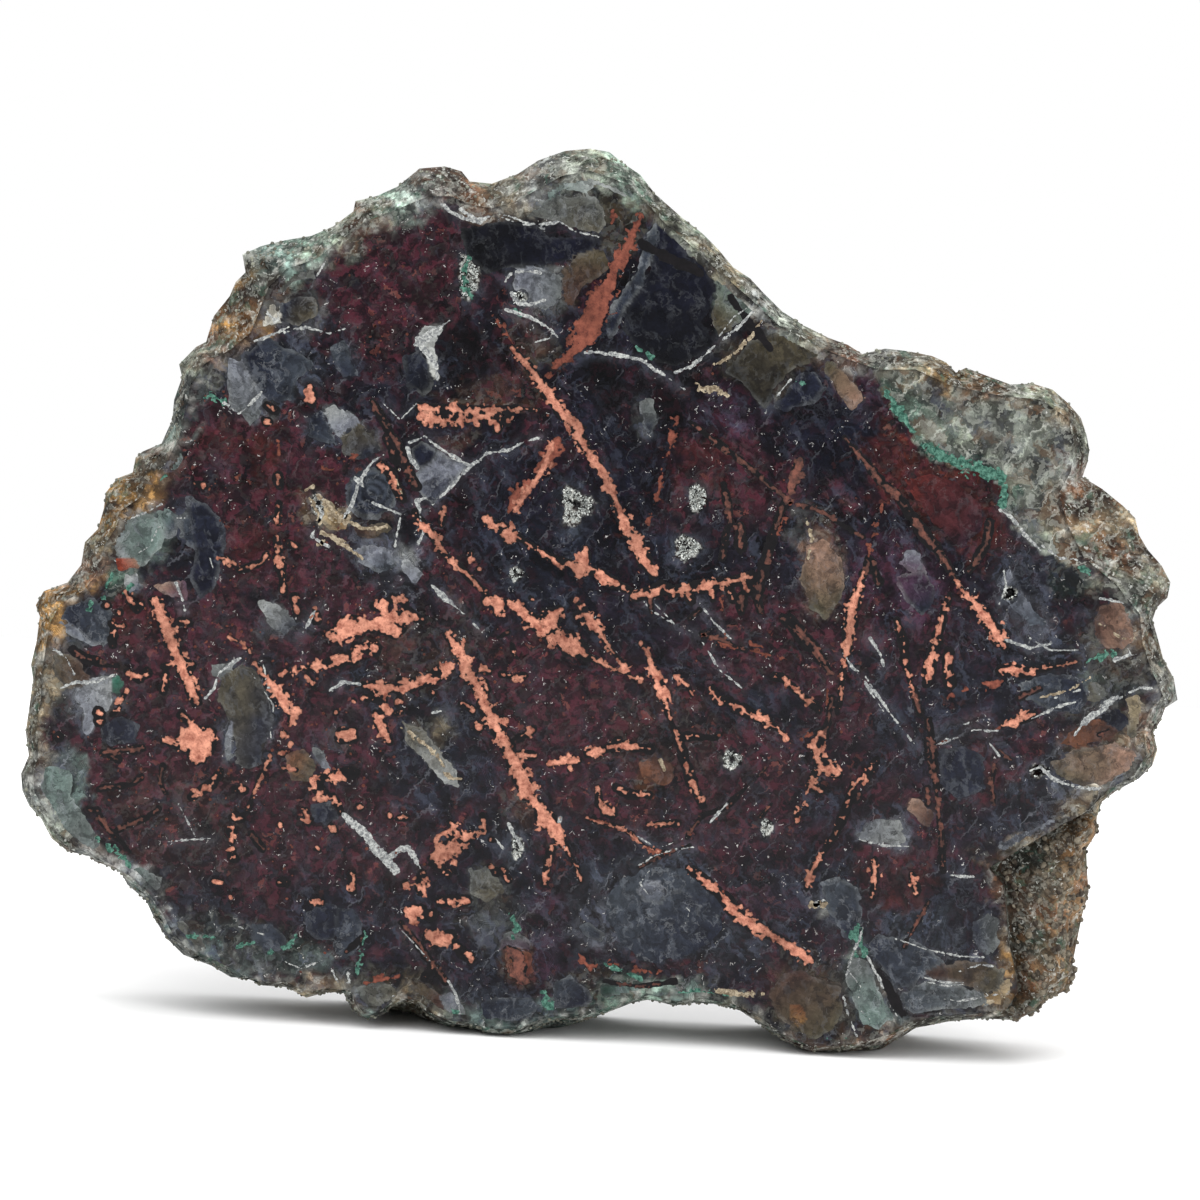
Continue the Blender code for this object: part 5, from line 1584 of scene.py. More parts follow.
@dataclass
class SlabStone:
    """The stone: polished face with its pits, chipped edge, hollow, rough rind and sawn back."""

    column_step: float = 0.00046
    edge_rings: int = 15
    wall_rings: int = 22
    face_step: float = 0.00060
    back_step: float = 0.00130
    sunk: float = 0.00003
    edge_depth: float = 0.0036
    edge_depth_wander: float = 0.0014
    edge_fall: Row = ((0, 0.34, 0.70, 1), (0, 0.16, 0.48, 1))
    least_bevel: float = 0.0003
    bite_width: float = math.radians(3)
    bite_run: float = 0.35
    lump_size: float = 0.0095
    lump_height: float = 0.0034
    ledge_size: float = 0.0046
    ledge_height: float = 0.0012
    ledge_shift: float = 0.0011
    crumb_sizes: tuple[Place, ...] = ((0.0006, 0.0014, 2.2), (0.0003, 0.0006, 5.5))
    saw_break: float = 0.0012
    saw_chip: float = 0.0006
    foot_height: float = 0.0035
    hollow_depth: float = 0.0024
    trench_depth: float = 0.0038
    trench_width: float = 0.0007
    wet_depth: float = 0.385
    rim_depth: float = 0.75
    rind_band: Point = (24, 2)
    slant: Point = (0.8, -0.6)
    grain: Grain = field(default_factory=lambda: Grain(5))

    def angles(self) -> Array:
        """The bearings of the loft's columns, with one at each corner of the rim."""
        turns: list[float] = []
        for start, end in zip(RIM, RIM[1:] + RIM[:1]):
            pieces = max(1, math.ceil(math.dist(start, end) * SHEET.square_across / self.column_step))
            for piece in range(pieces):
                turns.append(SHEET.bearing([toward(*pair, piece / pieces) for pair in zip(start, end)]))
        return np.array(turns)

    def hollow_share(self, angles: Array) -> Array:
        """1 inside the broken hollow and 0 outside it, with short ends."""
        first, last = (SHEET.bearing(end) for end in HOLLOW_ENDS)
        return smooth_step(first + 0.01, first - 0.03, angles) * smooth_step(last - 0.03, last + 0.01, angles)

    def body_reach(self, angles: Array) -> Array:
        """How far the body of the stone lies from the hub, inside the small bites of the rim.

        Args:
            angles: The bearings.

        Returns:
            The distances, in squares.
        """
        total = np.zeros(angles.shape)
        for turn in (-1, 0, 1):
            middle = angles + turn * self.bite_width * 0.7
            nearby = [SHEET.reach(RIM, middle + side * self.bite_width) for side in (-1, -0.5, 0, 0.5, 1)]
            total += np.min(nearby, axis=0)
        return np.minimum(total / 3, SHEET.reach(RIM, angles))

    def spot(self, squares: Array, depth: Array | float) -> Array:
        """Where the lumps are read at points of the sheet, in metres from the hub."""
        turned = SHEET.turned(squares)
        behind = np.broadcast_to(depth - SHEET.thickness / 2, turned.shape[:-1])
        return np.stack([turned[:, 0], behind, turned[:, 1]], axis=-1)

    def edge_ring(
        self, share: float, angles: Array, polished: Array, rim: Array, edge_depth: Array
    ) -> tuple[Array, Array]:
        """One ring of the chipped edge, which in the hollow is a trench under the flap and a floor.

        Args:
            share: How far the ring lies from the polish towards the rim, from 0 to 1.
            angles: The bearings of the columns.
            polished: How far the polish lies from the hub.
            rim: How far the rim lies from the hub.
            edge_depth: How far behind the polish the rim lies.

        Returns:
            The ring's distance from the hub, in squares, and its depth, in metres.
        """
        plain = toward(polished, rim, share)
        x, y = SHEET.at(angles, plain).T
        chip = 0.6 * self.grain.cells(x, y, 13.0) + 0.4 * self.grain.cells(x, y, 5.0)
        chip = chip * math.sin(math.pi * share)
        plain_depth = edge_depth * np.clip(np.interp(share, *self.edge_fall) + 0.16 * chip, 0.0, 1.0)
        trench = self.trench_width / SHEET.square_across
        broken = polished + np.interp(share, (0, 0.10, 0.2, 1), (0, 0.4, 1, 1)) * trench
        broken = toward(broken, rim, np.interp(share, (0, 0.2, 1), (0, 0, 1)))
        depth = np.interp(share, (0, 0.10, 0.2, 0.6, 0.85, 1), (0, 0.9, 1, 0, 0, 0)) * self.trench_depth
        depth += np.interp(share, (0, 0.2, 0.6, 1), (0, 0, 1, 0)) * self.hollow_depth
        depth = toward(depth, edge_depth, np.interp(share, (0, 0.72, 1), (0, 0.1, 1))) + 0.0005 * chip
        hollow = self.hollow_share(angles)
        depth = np.maximum(toward(plain_depth, depth, hollow), self.sunk + 0.00012 * share)
        return toward(plain, broken, hollow), depth if share else np.full(len(angles), self.sunk)

    def rings(self, angles: Array) -> tuple[list[Array], list[Array]]:
        """The rings of the loft from the polish to the sawn back.

        Args:
            angles: The bearings of its columns.

        Returns:
            For each ring its points on the sheet and its points in space.
        """
        square = SHEET.square_across
        rim, sawn = SHEET.reach(RIM, angles), SHEET.reach(SAWN, angles)
        polished = np.minimum(SHEET.reach(POLISHED, angles), rim - self.least_bevel / square)
        edge = SHEET.at(angles, rim)
        edge_depth = self.edge_depth + self.edge_depth_wander * noise_at(self.spot(edge, 0.0), self.lump_size)
        edge_depth = edge_depth + self.hollow_share(angles) * self.hollow_depth
        rings = []
        for ring in range(self.edge_rings):
            reach, depth = self.edge_ring(ring / self.edge_rings, angles, polished, rim, edge_depth)
            rings.append((SHEET.at(angles, reach), depth))
        rings.append((edge, edge_depth))
        downward = np.maximum(0.0, -np.sin(angles))
        body = toward(rim, self.body_reach(angles), 1 - smooth_step(0.55, 0.85, downward))
        for ring in range(1, self.wall_rings + 1):
            share, free = ring / self.wall_rings, float(ring < self.wall_rings)
            settled = toward(rim, body, smooth_step(0.0, self.bite_run, np.array(share)))
            envelope = toward(settled, sawn, np.where(downward < 0.8, share, share ** 0.6))
            place = SHEET.at(angles, envelope)
            behind = edge_depth + (SHEET.thickness - self.saw_break - edge_depth) * share
            spot = self.spot(place, behind)
            lump = self.lump_height * np.abs(noise_at(spot, self.lump_size, 3.1))
            lump += self.ledge_height * np.abs(noise_at(spot, self.ledge_size, 8.7))
            lump += free * sum(height * np.abs(noise_at(spot, *form)) for height, *form in self.crumb_sizes)
            height = spot[:, 2] + SHEET.offset()[1]
            lump *= smooth_step(0.0, self.foot_height, height) * (0.4 + 0.6 * free)
            depth = behind + free * self.ledge_shift * noise_at(spot, self.ledge_size)
            rings.append((SHEET.at(angles, envelope - lump / square), depth))
        rings.append((SHEET.at(angles, sawn - self.saw_chip / square), np.full(len(angles), SHEET.thickness)))
        points = [SHEET.place(*ring) for ring in rings]
        for ring_points in points:
            ring_points[:, 2] = np.maximum(ring_points[:, 2], 0.0)
        return [SHEET.lifted(ring_points) for ring_points in points], points

    def loose(self, ring: Array, step: float, pits: tuple[Pit, ...]) -> Array:
        """Points inside a closed ring, closer together in the pits.

        Args:
            ring: The ring's points, in squares.
            step: The spacing of the points, in metres.
            pits: The pits.

        Returns:
            The points, in squares.
        """
        spacing = step / SHEET.square_across
        rows = []
        for number, down in enumerate(np.arange(130, 1090, spacing * 0.866)):
            across = np.arange(0, SHEET_SQUARES, spacing) + (number % 2) * spacing / 2
            rows.append(np.stack([across, np.full(across.shape, down)], axis=-1))
        inner = np.concatenate(rows)
        inner = inner + np.random.default_rng(3).uniform(-0.18, 0.18, inner.shape) * spacing
        turn, reach = SHEET.polar(ring)
        order = np.argsort(turn)
        angle, away = SHEET.polar(inner)
        inner = inner[away < np.interp(angle, turn[order], reach[order], period=2 * math.pi) - 0.55 * spacing]
        for pit in pits:
            radius, squash = pit.radius / SHEET.square_across, np.array((1.0, pit.tall))
            inner = inner[np.hypot(*((inner - pit.centre) / squash).T) > radius * 1.25 + 2]
            grid = np.arange(-radius * 2.6, radius * 2.6, 1.5)
            close = np.stack(np.meshgrid(grid, grid), axis=-1).reshape(-1, 2)
            close = close[np.hypot(*(close / squash).T) < radius * 1.25]
            close = close + np.random.default_rng(7).uniform(-0.4, 0.4, close.shape)
            inner = np.concatenate([inner, close + pit.centre])
        return inner

    def filled(self, ring: Array, step: float, pits: tuple[Pit, ...], way: int) -> tuple[Array, Array]:
        """Fills a closed ring of the sheet with points and triangles.

        Args:
            ring: The ring's points, in squares.
            step: The spacing of the points inside, in metres.
            pits: Pits that need closer points.
            way: 1 for triangles that face along +Y and -1 for those that face along -Y.

        Returns:
            All the points, the ring's first, and the triangles.
        """
        everything = np.concatenate([ring, self.loose(ring, step, pits)])
        count = len(ring)
        edges = [(place, (place + 1) % count) for place in range(count)]
        result = delaunay_2d_cdt([Vector(point) for point in everything.tolist()], edges, [], 1, 1e-6)
        points = np.array([tuple(point) for point in result[0]])
        first: dict[int, int] = {}
        for new, olds in enumerate(result[3]):
            for old in olds:
                first.setdefault(old, new)
        order = [first[place] for place in range(count)]
        kept = np.concatenate([order, np.setdiff1d(np.arange(len(points)), order)]).astype(int)
        renumber = np.empty(len(points), int)
        renumber[kept] = np.arange(len(kept))
        points, triangles = points[kept], renumber[np.array(result[2])]
        a, b, c = (points[triangles[:, place]] for place in range(3))
        facing = (b - a)[:, 0] * (c - a)[:, 1] - (b - a)[:, 1] * (c - a)[:, 0]
        return points, np.where((facing * way < 0)[:, None], triangles[:, ::-1], triangles)

    def pit_share(self, squares: Array) -> tuple[Array, Array, Array]:
        """Where points of the sheet lie in the pits.

        Args:
            squares: Points of the sheet.

        Returns:
            For each point its distance from the nearest pit's middle as a share of the pit's reach, that
            pit's depth in metres and the share that its dark core takes.
        """
        nearest, depth, core = np.full(len(squares), 9.0), np.zeros(len(squares)), np.zeros(len(squares))
        for pit in PITS:
            x, y = (squares - np.array(pit.centre)).T * SHEET.square_across
            turn = np.arctan2(y / pit.tall, x)
            wave = pit.corners * np.sin(3 * turn + 1.9) + 0.06 * np.sin(7 * turn + pit.centre[0])
            share = np.hypot(x, y / pit.tall) / (pit.radius * (0.92 + wave))
            closer = share < nearest
            nearest = np.where(closer, share, nearest)
            depth, core = np.where(closer, pit.depth, depth), np.where(closer, pit.core, core)
        return nearest, depth, core

    def pit_depth(self, squares: Array) -> Array:
        """How deep the pits are at points of the sheet, in metres."""
        share, depth, _ = self.pit_share(squares)
        return depth * (1 + 0.35 * self.grain.cells(*squares.T, 3.0)) * smooth_step(1.0, 0.35, share) * 0.75

    def ground(self, squares: Array) -> tuple[Array, Array]:
        """The colour and the habits of the ground at points of the polished face.

        Args:
            squares: Points of the sheet.

        Returns:
            Linear colours and habits, three numbers each.
        """
        x, y = squares.T
        x, y = (
            place + 9 * Grain(seed).smooth(x, y, 42) + 5 * Grain(seed + 1).smooth(x, y, 15)
            for place, seed in ((x, 21), (y, 23))
        )
        look = np.tile(np.concatenate([Tone.PLUM.colour, Tone.PLUM.habits]), (len(x), 1))
        for tone, seed, size in ((Tone.NAVY, 31, 60), (Tone.MAROON, 32, 48), (Tone.SLATE, 33, 34)):
            share = 0.75 * smooth_step(0.05, 0.5, Grain(seed).smooth(x, y, size))[:, None]
            look = toward(look, np.concatenate([tone.colour, tone.habits]), share)
        ragged = 0.22 * self.grain.cells(x, y, 15) + 0.16 * Grain(25).cells(x, y, 6)
        ragged = ragged + 0.12 * Grain(26).smooth(x, y, 9)
        in_rind = inside(RIND_AREA, np.stack([x, y], axis=-1))
        layers = [(patch, 1.0) for patch in PATCHES] + [((Tone.RIND, 980, 440, 400, 400, 0, 0.95), in_rind)]
        layers = layers + [(row, in_rind) for row in RIND_PATCHES]
        for (tone, across, down, wide, high, turn, strength), mask in layers:
            cosine, sine = math.cos(math.radians(turn)), math.sin(math.radians(turn))
            u = (x - across) * cosine + (y - down) * sine
            v = (y - down) * cosine - (x - across) * sine
            share = strength * smooth_step(1.22, 0.78, np.hypot(u / wide, v / high) + ragged) * mask
            look = toward(look, np.concatenate([tone.colour, tone.habits]), share[:, None])
        for near, far, _, _, _, *outline in FRAGMENTS:
            share = 0.9 * inside(outline, squares)[:, None]
            look = toward(look, np.array([*(near.colour + far.colour) / 2, 0.0, 0.5, 0.0]), share)
        return look[:, :3] * (1 - 0.14 * (1 - in_rind))[:, None], look[:, 3:]

    def from_copper(self, squares: Array) -> Array:
        """How far points of the sheet lie from the copper, in squares."""
        return Blades("halo", BRIGHT_BLADES + RED_BLADES + TARNISHED_BLADES, BLACK_SELVAGE, "").away(squares)

    def haloed(self, squares: Array, colour: Array) -> Array:
        """Darkens the ground beside the copper and clouds it beside the veins.

        Args:
            squares: Points of the sheet.
            colour: The ground's linear colours.

        Returns:
            The colours with the halos.
        """
        veins = Blades("haze", WHITE_VEINS, BLACK_SELVAGE, "").away(squares)
        patchy = 0.5 + 0.5 * Grain(81).smooth(*squares.T, 40)
        colour = colour * (1 - 0.55 * patchy * smooth_step(14, 3, self.from_copper(squares)))[:, None]
        haze = 0.30 * smooth_step(10, 0, veins) * (0.4 + 0.6 * patchy)
        return toward(colour, Tone.MIST.colour, haze[:, None])

    def rim_ground(self, angles: Array, squares: Array) -> tuple[Array, Array]:
        """The colour and the habits of the rind at bearings from the hub.

        Args:
            angles: The bearings.
            squares: The points, which break the joins between the tones.

        Returns:
            Linear colours and habits, three numbers each.
        """
        keys = sorted(((SHEET.bearing(corner), tone) for tone, corner in RIM_TONES), key=lambda key: key[0])
        turns = np.array([turn for turn, _ in keys])
        looks = np.array([(*tone.colour, *tone.habits) for _, tone in keys])
        x, y = squares.T
        moved = angles + 0.022 * Grain(41).smooth(x, y, 16) + 0.014 * Grain(42).cells(x, y, 9)
        look = np.stack([np.interp(moved, turns, row, period=2 * math.pi) for row in looks.T], axis=-1)
        light = np.exp(0.85 * Grain(43).cells(x, y, 14) + 0.55 * Grain(44).cells(x, y, 6) - 0.18)
        colour = look[:, :3] * np.clip(light, 0.12, 2.6)[:, None]
        for tone, seed, low, high, size in (
            (Tone.RUST, 45, 0.20, 0.60, 34), (Tone.BLACK, 46, 0.25, 0.60, 17), (Tone.WHITE, 47, 0.40, 0.64, 6)
        ):
            share = 0.6 * smooth_step(low, high, Grain(seed).smooth(x, y, size))[:, None]
            colour = toward(colour, tone.colour, share)
        return colour, look[:, 3:]

    def build(self) -> tuple[bpy.types.Object, dict[str, Array]]:
        """Builds the stone.

        Returns:
            The piece, and its points, triangles and densities for what grows on it.
        """
        angles = self.angles()
        flat, rings = self.rings(angles)
        columns, levels = len(angles), len(rings)
        here = np.arange(columns)
        there = (here + 1) % columns
        quad = np.concatenate([
            np.stack([level + here, level + columns + here, level + columns + there, level + there], axis=-1)
            for level in range(0, (levels - 1) * columns, columns)
        ])
        face_points, face = self.filled(flat[0], self.face_step, PITS, -1)
        back_points, back = self.filled(flat[-1], self.back_step, (), 1)
        face_inner, back_inner = face_points[columns:], back_points[columns:]
        points = np.concatenate([
            *rings, SHEET.place(face_inner, self.sunk + self.pit_depth(face_inner)),
            SHEET.place(back_inner, SHEET.thickness - self.sunk),
        ])
        base = (levels - 1) * columns
        face = np.where(face < columns, face, face + base)
        back = np.where(back < columns, back + base, back + base + len(face_inner))
        triangles = np.concatenate([quad[:, [0, 1, 2]], quad[:, [0, 2, 3]], face, back])
        skin = Skin(angles, levels, np.concatenate([*flat, face_inner, back_inner]), points, len(face_inner))
        finishes = (POLISHED_AGATE, QUARTZ_RIND, SAWN_AGATE, CRUMBLED_AGATE)
        piece = mesh_piece("agate_slab", points, triangles, [finish.make() for finish in finishes])
        slots = self.slots(skin, len(face), len(back))
        piece.data.polygons.foreach_set("material_index", slots)
        piece.data.polygons.foreach_set("use_smooth", slots != Side.RIND.value)
        colour, habits = self.dressed(skin)
        tint(piece.data, "tint", colour)
        tint(piece.data, "habit", habits)
        tint(piece.data, "growth", self.from_copper(skin.squares) * SHEET.square_across / MILLIMETRE)
        piece.data.update()
        return piece, {"points": points, "triangles": triangles, **self.densities(skin)}

    def slots(self, skin: Skin, face: int, back: int) -> Array:
        """The material slot of each triangle.

        Args:
            skin: The stone's points.
            face: How many triangles fill the face.
            back: How many triangles fill the back.

        Returns:
            The slots.
        """
        level = skin.level[:-len(skin.angles)]
        hollow = np.tile(self.hollow_share(skin.angles) > 0.5, skin.levels - 1)
        hollow = hollow & (level < self.edge_rings + 3)
        loft = np.where(hollow, Side.HOLLOW.value, Side.RIND.value)
        loft[level == skin.levels - 2] = Side.SAWN.value
        sides = [loft, loft, np.full(face, Side.POLISHED.value), np.full(back, Side.SAWN.value)]
        return np.concatenate(sides).astype(np.int32)

    def dressed(self, skin: Skin) -> tuple[Array, Array]:
        """Colours and habits of all the points.

        Args:
            skin: The stone's points.

        Returns:
            Linear colours and habits, three numbers each.
        """
        squares, loft, front = skin.squares, skin.loft, skin.front
        x, y = squares.T
        colour, habits = self.ground(squares)
        turn, reach = SHEET.polar(squares)
        behind = (skin.points[:, 1:2] + SHEET.thickness / 2) / SHEET.square_across
        rim_colour, rim_habits = self.rim_ground(turn, squares + behind * np.array(self.slant))
        inward = SHEET.reach(POLISHED, turn) - reach
        rough = inward + 13 * Grain(51).smooth(x, y, 22) + 8 * Grain(52).cells(x, y, 10)
        share = smooth_step(*self.rind_band, rough) * 0.85
        depth = np.clip(skin.level / self.edge_rings, 0, 1)
        share[loft] = np.maximum(share[loft], 0.35 + 0.65 * smooth_step(0.2, 1.0, depth))
        share[front] *= 0.9
        wet = self.wet_depth * self.haloed(squares, colour)
        colour = toward(wet, self.rim_depth * rim_colour, share[:, None])
        habits = toward(habits, rim_habits, share[:, None])
        self.crumble(skin, depth, colour, habits)
        self.line_pits(skin, colour, habits)
        grey = colour[skin.back].mean(axis=1, keepdims=True)
        colour[skin.back] = 0.030 + 2.4 * (colour[skin.back] * 0.75 + grey * 0.25)
        return colour, habits

    def crumble(self, skin: Skin, depth: Array, colour: Array, habits: Array) -> None:
        """Gives the hollow its crumbs, greenish inside and rusty outside, with painted shade in the trench.

        Args:
            skin: The stone's points.
            depth: How far from the polish towards the rim each point of the loft lies, from 0 to 1.
            colour: The linear colours, which are changed.
            habits: The habits, which are changed.
        """
        x, y = skin.squares[skin.loft].T
        level = skin.level
        hollow = np.tile(self.hollow_share(skin.angles), skin.levels)
        hollow = hollow * (level > 0) * (level < self.edge_rings + 4)
        outer = smooth_step(1034, 1074, x + 14 * Grain(66).cells(x, y, 14))[:, None]
        crumbs = np.array(linear("#2C2F2A")[:3]) * (1 - outer) + np.array(linear("#67513A")[:3]) * outer
        crumbs = crumbs * (1 + 0.5 * Grain(61).cells(x, y, 9) + 0.3 * Grain(62).cells(x, y, 4))[:, None]
        # Painted shade: the crumbs are darkest in the trench under the flap and lighter towards the open rim.
        dark = np.interp(depth, (0, 0.08, 0.22, 0.5, 1), (0.5, 0.12, 0.35, 1.0, 1.5))[:, None]
        rust = smooth_step(0.1, 0.6, Grain(63).smooth(x, y, 30))[:, None] * 0.6
        crumbs = toward(crumbs * dark, Tone.RUST.colour * dark, rust)
        colour[skin.loft] = toward(colour[skin.loft], crumbs, hollow[:, None] * 0.85)
        habits[skin.loft, 2] = np.maximum(habits[skin.loft, 2], hollow)

    def line_pits(self, skin: Skin, colour: Array, habits: Array) -> None:
        """Gives the pits their sugary lining, a dark core of painted shade and the grey halo round them.

        Args:
            skin: The stone's points.
            colour: The linear colours, which are changed.
            habits: The habits, which are changed.
        """
        front = skin.front
        x, y = skin.squares[front].T
        share, _, core = self.pit_share(skin.squares[front])
        sugar = Grain(64).cells(x, y, 2.6) + 0.5 * Grain(65).cells(x, y, 1.6)
        lining = np.where((sugar > -0.05)[:, None], Tone.WHITE.colour * 0.8, Tone.BLACK.colour * 0.6)
        # Painted shade: the pit's deep middle, where no crystals grow, is painted near black.
        lining = np.where((share < core)[:, None], Tone.BLACK.colour * 0.3, lining)
        halo = 0.5 * smooth_step(1.9, 1.0, share + 0.3 * Grain(67).smooth(x, y, 10))[:, None]
        in_pit = smooth_step(1.12, 0.92, share + 0.12 * sugar)[:, None]
        colour[front] = toward(toward(colour[front], Tone.BLUE_GREY.colour * 0.6, halo), lining, in_pit)
        habits[front] = toward(habits[front], np.array((0.0, 0.0, 0.15)), in_pit)

    def densities(self, skin: Skin) -> dict[str, Array]:
        """How thickly things grow at each point.

        Args:
            skin: The stone's points.

        Returns:
            For pit points, hollow grit, rim grit and copper dust, a number from 0 to 1 for each point.
        """
        names = ("pit_points", "hollow_grit", "rim_grit", "dust")
        grown = {name: np.zeros(len(skin.squares)) for name in names}
        level, front, points = skin.level, skin.squares[skin.front], skin.points
        share, _, core = self.pit_share(front)
        grown["pit_points"][skin.front] = (share < 0.95) * (share > core + 0.1)
        hollow = np.tile(self.hollow_share(skin.angles), skin.levels)
        grown["hollow_grit"][skin.loft] = hollow * (level > 3) * (level < self.edge_rings + 2)
        low, high = points.min(axis=0), points.max(axis=0)
        clear = np.minimum((points - low).min(axis=1), (high - points)[:, [0, 2]].min(axis=1))[skin.loft]
        rim = (1 - hollow) * (level > 2) * (level < self.edge_rings + 12)
        grown["rim_grit"][skin.loft] = rim * smooth_step(0.0003, 0.0009, clear)
        dusty = smooth_step(0.35, 0.9, self.ground(front)[1][:, 0])
        clumps = smooth_step(0.1, 0.6, Grain(71).smooth(*front.T, 24))
        turn, reach = SHEET.polar(front)
        plain = (SHEET.reach(POLISHED, turn) - reach > 14) * (self.pit_depth(front) <= 0)
        left = smooth_step(640, 380, front[:, 0])
        grown["dust"][skin.front] = dusty * (0.25 + clumps) * plain * (0.25 + 0.75 * left)
        return grown


# ---------------------------------------------------------------- what is scattered over the stone


class Shape(Enum):
    """What is set down at each scattered point."""

    POINT = "a six-sided quartz point"
    GRIT = "an angular grain"
    FLAKE = "a flat flake"


@dataclass
class Scatter:
    """Many small bodies on a part of the stone, set down by Geometry Nodes."""

    name: str
    shape: Shape
    per_square_mm: float
    smallest: float
    largest: float
    tilt: float
    finish: VeinFinish | CopperFinish
    slot: str
    seed: int
    flatness: float = 1.0
    slimmest: float = 0.55

    def host(self, points: Array, triangles: Array, density: Array) -> bpy.types.Object:
        """The part of the stone's surface that is scattered over.

        Args:
            points: The stone's points.
            triangles: The stone's triangles.
            density: How thickly the bodies lie at each point.

        Returns:
            The surface, with its density.
        """
        chosen = triangles[(density[triangles] > 0).any(axis=1)]
        used, numbers = np.unique(chosen, return_inverse=True)
        piece = mesh_piece(self.name, points[used], numbers.reshape(chosen.shape), [])
        tint(piece.data, "density", density[used])
        return piece

    def tree(self) -> Tree:
        """Builds the node tree that scatters.

        Returns:
            The tree, with its named inputs.
        """
        tree = bpy.data.node_groups.new(f"{self.name} scatter", "GeometryNodeTree")
        sockets = {"Surface": "Geometry", "Seed": "Int", "Finish": "Material"}
        sockets |= dict.fromkeys(("Density", "Smallest", "Largest", "Tilt", "Flatness"), "Float")
        for label, kind in sockets.items():
            tree.interface.new_socket(label, in_out="INPUT", socket_type=f"NodeSocket{kind}")
        tree.interface.new_socket("Scattered", in_out="OUTPUT", socket_type="NodeSocketGeometry")
        given = tree.nodes.new("NodeGroupInput").outputs
        add, seed = partial(add_node, tree), {"Seed": given["Seed"]}
        multiply = partial(add, "Math", operation="MULTIPLY")
        local = add("GeometryNodeInputNamedAttribute", {"Name": "density"}, data_type="FLOAT")
        density = multiply({0: local, 1: given["Density"]})
        spots = add(
            "GeometryNodeDistributePointsOnFaces", {"Mesh": given["Surface"], "Density": density, **seed}
        ).outputs
        back = multiply({0: given["Tilt"], 1: -1.0})
        least = add("CombineXYZ", {0: back, 1: back, 2: -math.pi})
        most = add("CombineXYZ", {0: given["Tilt"], 1: given["Tilt"], 2: math.pi})
        lean = add("FunctionNodeRandomValue", {0: least, 1: most, **seed}, data_type="FLOAT_VECTOR")
        lean = add("FunctionNodeEulerToRotation", {0: lean})
        turned = add("FunctionNodeRotateRotation", {0: spots["Rotation"], 1: lean}, rotation_space="LOCAL")
        number = partial(add, "FunctionNodeRandomValue", data_type="FLOAT")
        size = number({2: given["Smallest"], 3: given["Largest"], **seed}).outputs[1]
        side = multiply({0: size, 1: number({2: self.slimmest, 3: 1.0, "Seed": 5}).outputs[1]})
        tall = given["Flatness"]
        if self.shape is not Shape.FLAKE:
            tall = multiply({0: size, 1: tall})
        set_down = add("GeometryNodeInstanceOnPoints", {
            "Points": spots["Points"], "Instance": self.body(add), "Rotation": turned,
            "Scale": add("CombineXYZ", {0: size, 1: side, 2: tall}),
        })
        real = add("GeometryNodeRealizeInstances", {0: set_down})
        dressed = add("GeometryNodeSetMaterial", {"Geometry": real, "Material": given["Finish"]})
        add("NodeGroupOutput", {0: dressed})
        return tree

    def body(self, add: partial) -> bpy.types.Node:
        """Makes one body of unit size.

        Args:
            add: What adds nodes to the tree.

        Returns:
            The node that carries it.
        """
        if self.shape is Shape.GRIT:
            return add("GeometryNodeMeshIcoSphere", {"Radius": 0.5, "Subdivisions": 1})
        if self.shape is Shape.FLAKE:
            return add("GeometryNodeMeshCylinder", {"Vertices": 5, "Radius": 0.5, "Depth": 1.0})
        shaft = add("GeometryNodeMeshCylinder", {"Vertices": 6, "Radius": 0.24, "Depth": 0.7})
        tip = add(
            "GeometryNodeMeshCone", {"Vertices": 6, "Radius Top": 0.01, "Radius Bottom": 0.24, "Depth": 0.34}
        )
        raised = add("GeometryNodeTransform", {"Geometry": tip, "Translation": (0.0, 0.0, 0.35)})
        join = add("GeometryNodeJoinGeometry", {0: shaft})
        join.id_data.links.new(raised.outputs[0], join.inputs[0])
        return join

    def build(self, points: Array, triangles: Array, density: Array) -> bpy.types.Object:
        """Scatters the bodies and makes them one plain mesh.

        Args:
            points: The stone's points.
            triangles: The stone's triangles.
            density: How thickly the bodies lie at each point, from 0 to 1.

        Returns:
            The piece.
        """
        piece = self.host(points, triangles, density)
        tree = self.tree()
        modifier = piece.modifiers.new("scatter", "NODES")
        modifier.node_group = tree
        values = {
            "Density": self.per_square_mm / MILLIMETRE ** 2,
            "Smallest": self.smallest, "Largest": self.largest,
            "Tilt": self.tilt, "Flatness": self.flatness, "Seed": self.seed, "Finish": self.finish.make(),
        }
        for socket in tree.interface.items_tree:
            if socket.name in values:
                modifier[socket.identifier] = values[socket.name]
        graph = bpy.context.evaluated_depsgraph_get()
        plain = bpy.data.meshes.new_from_object(piece.evaluated_get(graph))
        piece.modifiers.remove(modifier)
        piece.data = plain
        plain.name = self.name
        self.lap(plain, points)
        return piece

    def lap(self, mesh: bpy.types.Mesh, points: Array) -> None:
        """Cuts the bodies flush with the stone's own box, as the lap and the floor do.

        Args:
            mesh: The bodies, which are changed.
            points: The stone's points.
        """
        places = np.empty(len(mesh.vertices) * 3, np.float32)
        mesh.vertices.foreach_get("co", places)
        low, high = points.min(axis=0), points.max(axis=0)
        low[1] = -SHEET.thickness / 2
        places = np.clip(places.reshape(-1, 3), low, high)
        mesh.vertices.foreach_set("co", places.astype(np.float32).ravel())
        mesh.update()


# ---------------------------------------------------------------- the studio


